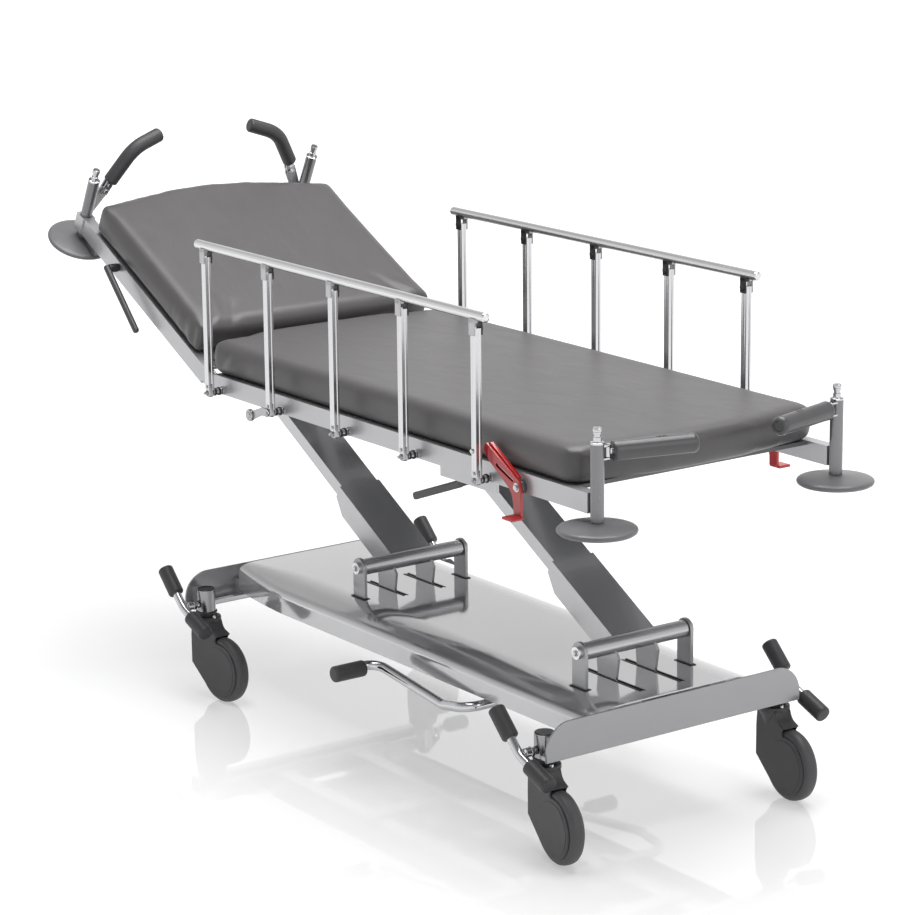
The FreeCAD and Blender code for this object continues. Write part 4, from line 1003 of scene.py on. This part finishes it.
@dataclass
class CornerPost:
    """A corner post with its bright stub, on the platform or the backrest."""

    end: End
    side: Side
    radius: float = 13.5
    low: float = -16.0
    high: float = 140.0
    disc_height: float = 21.0

    @property
    def place(self) -> Matrix:
        """The post's own frame: at the rail's lower face, along the post."""
        if self.end is End.FOOT:
            return WORLD @ Matrix.Translation((806.0, self.side.value * POST_Y, 731.0))
        return BACKREST @ Matrix.Translation((-624.0, self.side.value * POST_Y, -20.0))

    def build(self) -> None:
        """Build the tube, collar, stub, handle clevis and the bumper disc."""
        tag = f"{self.end.label}_{self.side.label}"
        body = "platform" if self.end is End.FOOT else "backrest"
        node = f"corner_post_{tag}"
        tube = Shape(self.place)
        r, low, high = self.radius, self.low, self.high
        tube.lathe([(0, low), (r - 1, low), (r, low + 1), (r, high - 5), (0, high - 5)], steps=48)
        fit(f"{node}_tube", tube.mesh("tube"), POST_COAT, body, [node])
        stub = Shape(self.place)
        stub.lathe([(0, high - 6), (r - 0.6, high - 5.4), (r + 0.1, high - 4.6), (r + 0.1, high - 1),
                    (r - 1, high), (8.6, high + 0.4), (8.0, high + 2), (8.0, high + 9), (6.4, high + 10),
                    (6.4, high + 14), (8.0, high + 15), (8.0, high + 19), (9.0, high + 20), (9.0, high + 25),
                    (7.8, high + 27.4), (4.0, high + 28), (0, high + 28)])
        stub.lathe([(0, 0), (5, 0), (5, 18), (0, 18)], (0, 0, low - 18), steps=24)
        if self.end is End.FOOT:
            pin = (4.0, -self.side.value * 21.0)
            for z in (104.5, 129.5):
                stub.block((pin[0] - 7, 0.0, z), (pin[0] + 7, pin[1], z + 4), 0.8, 2)
                stub.lathe([(0, 0), (6.4, 0), (7, 0.6), (7, 3.4), (6.4, 4), (0, 4)], (*pin, z), steps=32)
            stub.lathe([(0, 0), (3.5, 0), (3.5, 25), (0, 25)], (*pin, 106.5), steps=24)
        fit(f"{node}_stub", stub.mesh("stub"), CHROME, body)
        self.disc(tag)

    def disc(self, tag: str) -> None:
        """Build the domed bumper disc.

        Args:
            tag: end and side, as in node names.
        """
        body = f"bumper_disc_{tag}"
        top = self.low - 0.3
        low = top - self.disc_height
        disc = Shape(self.place)
        disc.lathe([(0, low), (66, low), (73, low + 0.8), (76.6, low + 3.2), (78, low + 6.6),
                    (77.4, low + 9.6), (74.6, low + 12), (66, low + 14), (50, low + 16.2), (30, low + 18.2),
                    (16, low + 19.4), (14, low + 20.4), (13, top), (5.4, top), (5.4, low + 2.6),
                    (0, low + 2.6)], steps=80)
        fit(f"{body}_dome", disc.mesh("dome", 45), BUMPER, body, [body])


@dataclass
class Platform:
    """The platform's frame, panel, side rail studs, tilt lever and foot handles."""

    studs: tuple[float, ...] = (-516.0, -266.5, -17.0, 232.5, 482.0)
    stud_z: float = 739.0
    swing_start: float = 10.5
    swing_length: float = 174.0
    swing_radius: float = 19.5

    def build(self) -> None:
        """Build and dress the platform's pieces, apart from its pad and posts."""
        rounded_copy("platform_frame", FRAME_COAT, "platform", 1.4, 3)
        keep("deck_panel", LAMINATE)
        for side in Side:
            self.rail_studs(side)
            self.foot_handle(side)
        self.tilt_lever()

    def rail_studs(self, side: Side) -> None:
        """Add a bright sleeve with a black ring on each stud, and the latch's boss.

        Args:
            side: the side that the studs are on.
        """
        out = (0, side.value, 0)
        sleeves, rings = Shape(), Shape()
        for x in self.studs:
            base = (x, side.value * 315.0, self.stud_z)
            sleeves.lathe([(0, 0), (9.5, 0), (9.5, 2), (7.6, 2.6), (7.6, 22), (0, 22)], base, out, 32)
            rings.lathe([(7.4, 5), (9.2, 5.5), (9.2, 9.5), (7.4, 10)], base, out, 32)
            rings.lathe([(7.4, 16), (8.8, 16.4), (8.8, 20.4), (7.4, 21)], base, out, 32)
        fit(f"stud_sleeves_{side.label}", sleeves.mesh("sleeves"), CHROME, "platform")
        fit(f"stud_rings_{side.label}", rings.mesh("rings"), BLACK_NYLON, "platform")
        boss = Shape()
        boss.lathe([(0, 0), (13, 0), (13, 7), (12, 8.4), (0, 8.4)], (592, side.value * 315.0, 744), out, 40)
        fit(f"latch_boss_{side.label}", boss.mesh("boss"), DARK_STEEL, "platform")

    def foot_handle(self, side: Side) -> None:
        """Build one foot handle: hub, chrome neck and grip with three marks.

        Args:
            side: its side.
        """
        body = f"foot_handle_{side.label}"
        place = WORLD @ Matrix.Translation((810.0, side.value * 281.0, 850.0))
        lean = math.radians(15.0)
        way = Vector((math.sin(lean), -side.value * math.cos(lean), 0.0))
        hub = Shape(place)
        hub.lathe([(3.7, -10), (6.5, -10), (7, -9.4), (7, 9.4), (6.5, 10), (3.7, 10)], steps=32)
        hub.lathe([(0, 0), (6.5, 0), (6.5, 8), (13, 8.6), (13, 11), (0, 11)], way * 4, way, 32)
        fit(f"{body}_hub", hub.mesh("hub"), CHROME, body, [body])
        grip = Shape(place)
        length, r = self.swing_length, self.swing_radius
        grip.lathe([(0, 0), (r - 4, 0), (r - 1.2, 1.2), (r, 4), (r, 10), (r - 0.5, 11),
                    (r - 0.5, length - 12), (r, length - 11), (r - 0.6, length - 5),
                    (r - 3.2, length - 1.4), (r - 6, length), (r - 9, length), (r - 9.6, length - 1),
                    (r - 10.5, length), (0, length)], way * self.swing_start, way, 56)
        fit(f"{body}_grip", grip.mesh("grip"), HANDLE_GRIP, body)
        marks = Shape(place)
        for step in range(3):
            spot = way * (length * 0.6 + step * 7.5) + Vector((0, 0, r - 0.6))
            turn = Matrix.Translation(spot) @ Matrix.Rotation(-side.value * lean, 4, "Z")
            marks.block((-5.5, -0.9, -0.6), (5.5, 0.9, 0.6), 0.5, 2, turn)
        fit(f"{body}_marks", marks.mesh("marks"), BLACK_NYLON, body)

    def tilt_lever(self) -> None:
        """Build the flat tilt lever and its black pivot."""
        pivot = WORLD @ Matrix.Translation((410.0, -302.0, 718.0))
        place = pivot @ Matrix.Rotation(math.radians(-20.0), 4, "Y")
        lever = Shape(place)
        lever.block((-218, -6, -8), (-40, 6, 8), 5.5, 4)
        fit("tilt_lever_blade", lever.mesh("blade"), DARK_STEEL, "tilt_lever", ["tilt_lever"])
        hub = Shape(place)
        hub.block((-46, -6.5, -6.5), (6, 6.5, 6.5), 2.0, 3)
        hub.lathe([(0, -8), (8.5, -8), (9, -7), (9, 7), (8.5, 8), (0, 8)], (0, 0, 0), (0, 1, 0), 32)
        hub.lathe([(0, -7.5), (6, -7.5), (6, 7.5), (0, 7.5)], (-30, 0, 0), (0, 1, 0), 24)
        fit("tilt_lever_hub", hub.mesh("hub"), BLACK_NYLON, "tilt_lever")


@dataclass
class Backrest:
    """The backrest's frame, panel, release lever and push handles."""

    handle_u: float = 640.5
    handle_bolts: tuple[tuple[float, float], ...] = ((258, 76), (251, 92))

    def build(self) -> None:
        """Build and dress the backrest's pieces, apart from its pad and posts."""
        rounded_copy("backrest_frame", FRAME_COAT, "backrest", 1.4, 3)
        keep("backrest_panel", LAMINATE)
        self.lever()
        for side in Side:
            self.handle(side)

    def lever(self) -> None:
        """Build the release lever: a rod with rounded ends and its knob."""
        place = BACKREST @ Matrix.Translation((-430.0, -345.0, 8.0))
        drop = math.radians(18.8)
        way = Vector((math.cos(drop), 0, -math.sin(drop)))
        rod = Shape(place)
        rod.pill(way * -9, way * 180, 7.5, 6.0)
        fit("backrest_lever_rod", rod.mesh("rod"), DARK_STEEL, "backrest_lever", ["backrest_lever"])
        knob = Shape(place)
        knob.lathe([(4.2, 4), (9, 4), (10, 6), (10, 24), (8.5, 29.4), (4.2, 29.4)], (0, 0, 0), (0, 1, 0), 32)
        fit("backrest_lever_knob", knob.mesh("knob"), BLACK_NYLON, "backrest_lever")

    def handle(self, side: Side) -> None:
        """Build one push handle: two straps, bolts and the bent grip.

        Args:
            side: its side.
        """
        body = f"push_handle_{side.label}"
        s = side.value
        u = -self.handle_u
        straps = Shape(BACKREST)
        lean = math.atan2(s * 8, 20)
        for way in (-1, 1):
            low = u + way * 5.5 - 2.5
            turn = Matrix.Translation((low, s * 258, 76)) @ Matrix.Rotation(lean, 4, "X")
            straps.block((0, -10, -10), (5, 10, 36), 1.2, 3, turn)
        fit(f"{body}_straps", straps.mesh("straps"), STEEL, body, [body])
        bolts = Shape(BACKREST)
        for y, z in self.handle_bolts:
            for way in (-1, 1):
                bolts.lathe([(0, 0), (6.2, 0), (6.2, 3), (5.2, 4), (0, 4.2)],
                            (u + way * 8, s * y, z), (way, 0, 0), 24)
        fit(f"{body}_bolts", bolts.mesh("bolts", 20), CHROME, body)
        grip = Shape(BACKREST)
        grip.bar([(u + 4, s * 251, 99), (u - 5, s * 199, 182), (u - 24, s * 123, 201)], 17.0, 75, 36, 6.0)
        fit(f"{body}_grip", grip.mesh("grip"), GRIP, body)


@dataclass
class SideRail:
    """A folding side rail: top tube, clevises, five posts, stop arm and the red latch."""

    side: Side
    y: float = 345.0
    first: float = -516.0
    pitch: float = 249.5
    low_z: float = 739.0
    high_z: float = 1042.0
    tube_z: float = 1067.0
    past_post: float = 36.0

    def posts_x(self) -> list[float]:
        """Where the five posts stand along x."""
        return [self.first + self.pitch * i for i in range(5)]

    def build(self) -> None:
        """Build the rail's pieces."""
        self.tube()
        for number, x in enumerate(self.posts_x(), 1):
            self.post(number, x)
        self.latch()

    def tube(self) -> None:
        """Build the top tube, the light outer plates and the black inner clevises."""
        s, body = self.side.value, f"guard_tube_{self.side.label}"
        xs = self.posts_x()
        tube = Shape()
        y, z = s * self.y, self.tube_z
        tube.pill((xs[0] - self.past_post, y, z), (xs[-1] + self.past_post, y, z), 10.0, 5.0, 40)
        fit(f"{body}_tube", tube.mesh("tube"), RAIL_METAL, body, [body])
        outer, inner = Shape(), Shape()
        for x in xs:
            outer.block((x - 9, s * 352.4, 1028), (x + 9, s * 356.4, 1062), 1.8, 3)
            outer.block((x - 9, s * 345, 1052.5), (x + 9, s * 356.4, 1062), 1.5, 3)
            inner.block((x - 9, s * 333.4, 1028), (x + 9, s * 337.6, 1062), 1.8, 3)
            inner.block((x - 9, s * 333.4, 1052.5), (x + 9, s * 345, 1062), 1.5, 3)
            inner.lathe([(0, 0), (7.5, 0), (7.5, 1.2), (6, 1.9), (0, 2)], (x, s * 333.6, 1040),
                        (0, -s, 0), 28)
        fit(f"{body}_clevis_outer", outer.mesh("outer"), FRAME_COAT, body)
        fit(f"{body}_clevis_inner", inner.mesh("inner"), BLACK_NYLON, body)

    def post(self, number: int, x: float) -> None:
        """Build one post: a grooved profile with its end fitting and bolts.

        Args:
            number: the post's number from the head end.
            x: its place along x.
        """
        s = self.side.value
        body = f"guard_post_{self.side.label}_{number}"
        place = WORLD @ Matrix.Translation((x, s * self.y, self.low_z))
        half_x, half_y, deep = 8.0, 7.0, 1.6
        run = [(-half_x, -half_y), (-4.6, -half_y), (-3.6, -half_y + deep), (-2.2, -half_y),
               (2.2, -half_y), (3.6, -half_y + deep), (4.6, -half_y), (half_x, -half_y),
               (half_x, -2.6), (half_x - deep, -1.2), (half_x - deep, 1.2), (half_x, 2.6)]
        profile = Shape(place)
        profile.plate(run + [(-px, -py) for px, py in run], 6.0, self.high_z - self.low_z, 0.0, None, Axis.Z)
        fit(f"{body}_profile", profile.mesh("profile", 25), POST_METAL, body, [body])
        ends = Shape(place)
        ends.block((-7.6, -6.8, -9.5), (7.6, 6.8, 22), 4.0, 4)
        ends.lathe([(0, 0), (5.4, 0), (5.4, 2.4), (4.4, 3.4), (0, 3.6)], (0, s * 7.0, 0), (0, s, 0), 28)
        ends.lathe([(0, 0), (3.4, 0), (3.4, 1.6), (2.6, 2.2), (0, 2.2)], (0, s * 6.8, 14), (0, s, 0), 20)
        if number == 2:
            self.stop_arm(ends)
        fit(f"{body}_fitting", ends.mesh("fitting"), STEEL, body)
        if number == 5:
            bolt = Shape(place)
            bolt.lathe([(0, 0), (5.0, 0), (5.0, 2.2), (4.0, 3.2), (0, 3.4)],
                       (-5.5, s * 7.0, 58), (0, s, 0), 24)
            fit(f"{body}_bolt", bolt.mesh("bolt"), CHROME, body)

    def stop_arm(self, ends: Shape) -> None:
        """Add the stop arm with its roller to the second post.

        Args:
            ends: the shape that takes it.
        """
        s = self.side.value
        ends.plate([(-66, -23), (-66, -8), (-20, 9), (0, 9), (8, 0), (0, -9), (-20, -9), (-60, -26)],
                   s * 7.5, s * 11.0, 0.8)
        ends.lathe([(0, 0), (13, 0), (13, 6.5), (11.8, 8), (7, 8), (6, 9.6), (0, 9.8)], (-66, s * 7.5, -16),
                   (0, s, 0), 36)

    def latch(self) -> None:
        """Build the red latch: blade with a slot, folded flange and foot tab, and its bolt."""
        s = self.side.value
        body = f"guard_latch_{self.side.label}"
        place = WORLD @ Matrix.Translation((592.0, s * 328.0, 744.0))
        blade = Shape(place)
        upper = [(-107, 62), (-98, 70), (-88, 65), (-8, 20)]
        lower = [(8, 12), (12, 0), (13, -30), (13, -58), (-11, -58), (-11, -38), (-16, -18), (-26, -6),
                 (-92, 38), (-108, 56)]
        blade.plate(upper + lower, -3.0, 3.0, 0.9)
        slot = Shape(place)
        turn = Matrix.Translation((-39, 0, 22)) @ Matrix.Rotation(math.atan2(24.0, 58.0), 4, "Y")
        slot.block((-31, -12, -3.6), (31, 12, 3.6), 3.4, 4, turn)
        fit(f"{body}_blade", carve(blade, slot, "blade"), RED_COAT, body, [body])
        folds = Shape(place)
        folds.plate([(-98, 69), (-94, 66), (-2, 16), (1, 18.5), (-91, 72)], s * -2.0, s * -10.0, 0.6)
        folds.block((-14, 0.0, -62), (19, s * 30.0, -56), 2.4, 3)
        fit(f"{body}_folds", folds.mesh("folds"), RED_COAT, body)
        bolt = Shape(place)
        bolt.lathe([(0, 0), (9, 0), (9, 1.2), (0, 1.2)], (0, s * 3.0, 0), (0, s, 0), 32)
        bolt.lathe([(0, 1.2), (6, 1.2), (6, 4.4), (5, 5.4), (0, 5.6)], (0, s * 3.0, 0), (0, s, 0), 6)
        fit(f"{body}_bolt", bolt.mesh("bolt", 20), CHROME, body)


@dataclass
class Pad:
    """A foam pad in a coated cloth cover, swollen by a short cloth simulation.

    Attributes:
        name: the piece's name.
        node: the CAD node that it replaces.
        body: the body that it rides on.
        place: its own frame.
        outline: (x, y) points of its edge seen from above.
        low: underside.
        high: top.
        voxel: remesh size in millimetres.
        swell: how far a point may move, in millimetres.
        edge: radius along the top and bottom edges.
        corners: how far the rounding at a corner of the outline reaches, or 0.
        smoothings: how often the skin is smoothed.
        frames: length of the simulation.
    """

    name: str
    node: str
    body: str
    place: Matrix
    outline: Sequence[tuple[float, float]]
    low: float
    high: float
    voxel: float
    swell: float = 4.0
    edge: float = 12.0
    corners: Callable[[Vector], float] | None = None
    smoothings: int = 4
    frames: int = 14

    def build(self, folds: Callable[[Vector], Vector] | None = None) -> bpy.types.Object:
        """Build the pad.

        Args:
            folds: moves a point of the finished skin, in the pad's own frame, for folds in the cover.

        Returns:
            The finished piece.
        """
        body = Shape(Matrix.Scale(0.001, 4))
        body.plate(self.outline, self.low + 1.0, self.high - 1.5, self.edge, self.corners, Axis.Z)
        mesh = body.mesh(self.name)
        skin = bpy.data.objects.new(f"{self.name}_skin", mesh)
        bpy.context.scene.collection.objects.link(skin)
        remesh = skin.modifiers.new("even", "REMESH")
        remesh.mode = "VOXEL"
        remesh.voxel_size = self.voxel / 1000
        bpy.context.view_layer.update()
        graph = bpy.context.evaluated_depsgraph_get()
        even = bpy.data.meshes.new_from_object(skin.evaluated_get(graph))
        bpy.data.objects.remove(skin)
        even = self.simulate(even)
        fine = bmesh.new()
        fine.from_mesh(even)
        for _ in range(self.smoothings):
            bmesh.ops.smooth_vert(fine, verts=fine.verts, factor=0.5, use_axis_x=True, use_axis_y=True,
                                  use_axis_z=True)
        if folds is not None:
            for vert in fine.verts:
                vert.co = folds(vert.co * 1000.0) / 1000.0
        bmesh.ops.transform(fine, matrix=self.place @ Matrix.Scale(1000, 4), verts=fine.verts)
        fine.to_mesh(even)
        fine.free()
        even.shade_smooth()
        piece = fit(self.name, even, VINYL, self.body, [self.node])
        smooth = piece.modifiers.new("smooth", "SUBSURF")
        smooth.levels = 1
        smooth.render_levels = 1
        return piece

    def simulate(self, even: bpy.types.Mesh) -> bpy.types.Mesh:
        """Swell the skin with a few frames of cloth under pressure.

        Args:
            even: the remeshed skin in its own frame, in metres.

        Returns:
            The swollen skin, no point further than the cap from where it was.
        """
        rest = [v.co.copy() for v in even.vertices]
        skin = bpy.data.objects.new(f"{self.name}_cloth", even)
        bpy.context.scene.collection.objects.link(skin)
        cloth = skin.modifiers.new("cloth", "CLOTH")
        settings = cloth.settings
        settings.quality = 4
        settings.mass = 0.3
        settings.tension_stiffness = 30
        settings.compression_stiffness = 30
        settings.bending_stiffness = 2.0
        settings.use_pressure = True
        settings.uniform_pressure_force = 3.0
        settings.effector_weights.gravity = 0.0
        settings.air_damping = 8.0
        stage = bpy.context.scene
        for number in range(1, self.frames + 1):
            stage.frame_set(number)
        graph = bpy.context.evaluated_depsgraph_get()
        made = bpy.data.meshes.new_from_object(skin.evaluated_get(graph))
        bpy.data.objects.remove(skin)
        stage.frame_set(1)
        cap = self.swell / 1000
        for vert, before in zip(made.vertices, rest):
            step = vert.co - before
            if step.length > cap:
                step *= cap / step.length
            vert.co = before + step
        return made


@dataclass
class Pads:
    """The main pad and the backrest pad."""

    half: float = 313.0

    def build(self) -> None:
        """Build both pads."""
        h = self.half
        bow = [(738, -h), (756, -h * 0.66), (769, -h * 0.33), (773.5, 0), (769, h * 0.33), (756, h * 0.66),
               (738, h)]
        head = [(-560, h), (-600, h * 0.5), (-603, 0), (-600, -h * 0.5), (-560, -h)]
        main = Pad("mattress_main_pad", "mattress_main", "platform", WORLD, bow + head, 771.3, 843.3, 9.0,
                   corners=lambda spot: 30.0 if spot.x > 700 and abs(spot.y) > 300 else 0.0)
        piece = main.build(self.main_folds)
        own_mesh(piece)
        bow = [(-549, h), (-575, h * 0.66), (-594, h * 0.33), (-602, 0), (-598, -h * 0.33), (-582, -h * 0.66),
               (-560, -h)]
        foot = [(-71, -h), (-71, h)]
        back = Pad("mattress_backrest_pad", "mattress_backrest", "backrest", BACKREST, bow + foot, 21.3, 95.3,
                   6.5, edge=8.0, corners=lambda spot: 12.0 if spot.x < -500 and abs(spot.y) > 300 else 0.0)
        back.build(self.back_folds)

    @staticmethod
    def ridge(p: Vector, start: Sequence[float], stop: Sequence[float], width: float, height: float) -> float:
        """The height of one fold at a point: a soft ridge along a line.

        Args:
            p: the point.
            start: one end of the fold.
            stop: the other end.
            width: how wide the fold is.
            height: its height in the middle.

        Returns:
            How far the point goes out.
        """
        a, b = Vector(start), Vector(stop)
        along = b - a
        t = max(0.0, min(1.0, (p - a).dot(along) / along.length_squared))
        off = (p - (a + along * t)).length / width
        return height * math.exp(-off * off) * math.sin(math.pi * (0.12 + 0.76 * t))

    def main_folds(self, p: Vector) -> Vector:
        """Press folds into the main pad's sides near the head end, where the cover is pulled.

        Args:
            p: a point of the skin.

        Returns:
            The moved point.
        """
        moved = p.copy()
        pulls = ((-540, 778, 60, 50), (-520, 776, 90, 46), (-470, 775, 70, 30), (-548, 800, 20, 40))
        for s in (-1, 1):
            if p.y * s > 250:
                out = 0.0
                for i, (x, z, dx, dz) in enumerate(pulls):
                    height = 3.0 if i % 2 else -3.5
                    out += self.ridge(p, (x, s * 313, z), (x + dx, s * 313, z + dz), 8.0, height)
                moved.y += s * out
        top = 0.0
        if p.z > 825 and p.x < -420:
            top += self.ridge(p, (-560, -300, 842), (-470, -240, 842), 14.0, 2.4)
            top += self.ridge(p, (-590, -260, 842), (-520, -150, 842), 16.0, -2.6)
            top += self.ridge(p, (-590, 260, 842), (-520, 150, 842), 16.0, -2.2)
        moved.z += top
        return moved

    def back_folds(self, p: Vector) -> Vector:
        """Press folds into the backrest pad's lower sides and corner.

        Args:
            p: a point of the skin.

        Returns:
            The moved point.
        """
        moved = p.copy()
        for s in (-1, 1):
            if p.y * s > 270:
                out = 0.0
                for i, x in enumerate((-88, -104, -126, -150, -186)):
                    height = (-3.0, 2.6, -2.6, 1.8, -1.4)[i]
                    out += self.ridge(p, (x, s * 313, 24), (x - 6, s * 313, 78), 6.5, height)
                moved.y += s * out
        if p.z > 70 and p.x > -200:
            lift = 0.0
            for i, (y, run) in enumerate(((-300, 60), (-268, 96), (-230, 70), (292, 60), (250, 90))):
                stop = (-74 - run, y + 40 * (-1 if y > 0 else 1), 94)
                lift += self.ridge(p, (-74, y, 94), stop, 11.0, 3.2 if i % 2 else -3.6)
            moved.z += lift
        return moved


@dataclass
class Studio:
    """The pale floor, the soft lights and the camera at the photograph's place.

    Attributes:
        ambient: strength of the surroundings as a light.
        sky: from the first height of a glossy ray to the second, the surroundings go from 1 to the third.
        glow: from the first distance to the second, the floor's emission goes from the third to the fourth.
    """

    camera_at: tuple[float, float, float] = (5276.4, -3834.1, 2245.5)
    yaw: float = 54.319
    pitch: float = 13.838
    roll: float = -0.632
    lens: float = 36.0 * 3131.43 / 915.0
    ambient: float = 0.11
    sky: tuple[float, float, float] = (0.32, 0.8, 0.3)
    glow: tuple[float, float, float, float] = (1.4, 3.6, 0.43, 0.85)

    def build(self) -> None:
        """Build the camera, lights, world and floor."""
        bpy.context.scene.view_settings.view_transform = "Standard"
        self.camera()
        self.world()
        self.lamps()
        self.floor()

    def camera(self) -> None:
        """Place the camera where the photograph was taken from."""
        yaw, pitch, roll = (math.radians(a) for a in (self.yaw, self.pitch, self.roll))
        ahead = Vector((-math.sin(yaw) * math.cos(pitch), math.cos(yaw) * math.cos(pitch), -math.sin(pitch)))
        level = Vector((math.cos(yaw), math.sin(yaw), 0.0))
        upright = level.cross(ahead)
        right = math.cos(roll) * level + math.sin(roll) * upright
        up = -math.sin(roll) * level + math.cos(roll) * upright
        data = bpy.data.cameras.new("camera")
        data.lens = self.lens
        data.clip_end = 60.0
        eye = bpy.data.objects.new("camera", data)
        turn = Matrix((right, up, -ahead)).transposed().to_4x4()
        eye.matrix_world = Matrix.Translation(WORLD @ Vector(self.camera_at)) @ turn
        bpy.context.scene.collection.objects.link(eye)
        bpy.context.scene.camera = eye

    def world(self) -> None:
        """Make the surroundings white to the eye, darker overhead to gloss, and soft as a light."""
        world = bpy.data.worlds.new("studio")
        world.use_nodes = True
        tree = world.node_tree
        back = tree.nodes["Background"]
        path = add_node(tree, "ShaderNodeLightPath")
        start, stop, dark = self.sky
        spot = add_node(tree, "ShaderNodeTexCoord").outputs["Object"]
        way = add_node(tree, "ShaderNodeSeparateXYZ", {}, {0: spot})
        sky = add_node(tree, "ShaderNodeMapRange", {
            "From Min": start, "From Max": stop, "To Min": 1.0, "To Max": dark}, {"Value": way.outputs["Z"]})
        gloss = add_node(tree, "ShaderNodeMath", {"operation": "MULTIPLY"},
                         {0: path.outputs["Is Glossy Ray"], 1: sky.outputs[0]})
        strength = add_node(tree, "ShaderNodeMath", {"operation": "MAXIMUM", 1: self.ambient},
                            {0: gloss.outputs[0]})
        for ray in ("Is Camera Ray", "Is Transmission Ray"):
            strength = add_node(tree, "ShaderNodeMath", {"operation": "MAXIMUM"},
                                {0: strength.outputs[0], 1: path.outputs[ray]})
        back.inputs["Color"].default_value = (1, 1, 1, 1)
        tree.links.new(strength.outputs[0], back.inputs["Strength"])
        bpy.context.scene.world = world

    def lamps(self) -> None:
        """Hang a large soft light overhead and a weaker one at the foot end."""
        for name, spot, aim, size, power in (
                ("overhead", (0.2, 0.3, 4.2), (0.1, 0.0, 0.5), 3.4, 225.0),
                ("foot_side", (4.4, 0.8, 2.6), (0.2, 0.0, 0.6), 2.4, 26.0)):
            data = bpy.data.lights.new(name, "AREA")
            data.shape = "SQUARE"
            data.size = size
            data.energy = power
            lamp = bpy.data.objects.new(name, data)
            lamp.location = spot
            lamp.rotation_euler = (Vector(aim) - Vector(spot)).to_track_quat("-Z", "Y").to_euler()
            bpy.context.scene.collection.objects.link(lamp)

    def floor(self) -> None:
        """Lay a pale glossy floor that keeps the shadow and a faint reflection, and glows with painted light.
        """
        made = bmesh.new()
        bmesh.ops.create_grid(made, x_segments=1, y_segments=1, size=15.0)
        mesh = bpy.data.meshes.new("floor")
        made.to_mesh(mesh)
        made.free()
        ground = bpy.data.objects.new("floor", mesh)
        bpy.context.scene.collection.objects.link(ground)
        paint = bpy.data.materials.new("white_lacquered_floor")
        paint.use_nodes = True
        tree = paint.node_tree
        shader = tree.nodes["Principled BSDF"]
        shader.inputs["Base Color"].default_value = linear("d8d8d8")
        shader.inputs["Roughness"].default_value = 0.035
        shader.inputs["Emission Color"].default_value = (1, 1, 1, 1)
        # Painted light: the floor glows, weaker near the stretcher where its shadow shows, and stronger
        # further out
        near, far, least, most = self.glow
        reach = add_node(tree, "ShaderNodeVectorMath", {"operation": "LENGTH"},
                         {0: add_node(tree, "ShaderNodeTexCoord").outputs["Object"]})
        glow = add_node(tree, "ShaderNodeMapRange", {
            "From Min": near, "From Max": far, "To Min": least, "To Max": most},
            {"Value": reach.outputs["Value"]})
        tree.links.new(glow.outputs[0], shader.inputs["Emission Strength"])
        mesh.materials.append(paint)


class SizeLog:
    """Updates the view layer after the last piece; it writes nothing."""

    @staticmethod
    def write() -> None:
        """Update the view layer."""
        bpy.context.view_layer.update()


def main() -> None:
    """Build the stretcher's pieces in order and report each."""
    logging.basicConfig(level=logging.INFO, format="%(message)s")
    Studio().build()
    Base().build()
    for end in End:
        for side in Side:
            Caster(end, side).build()
            CornerPost(end, side).build()
        BrakeBar(end).build()
    PumpBar().build()
    LiftArms().build()
    Platform().build()
    Backrest().build()
    for side in Side:
        SideRail(side).build()
    Pads().build()
    SizeLog.write()


if __name__ == "__main__":
    main()
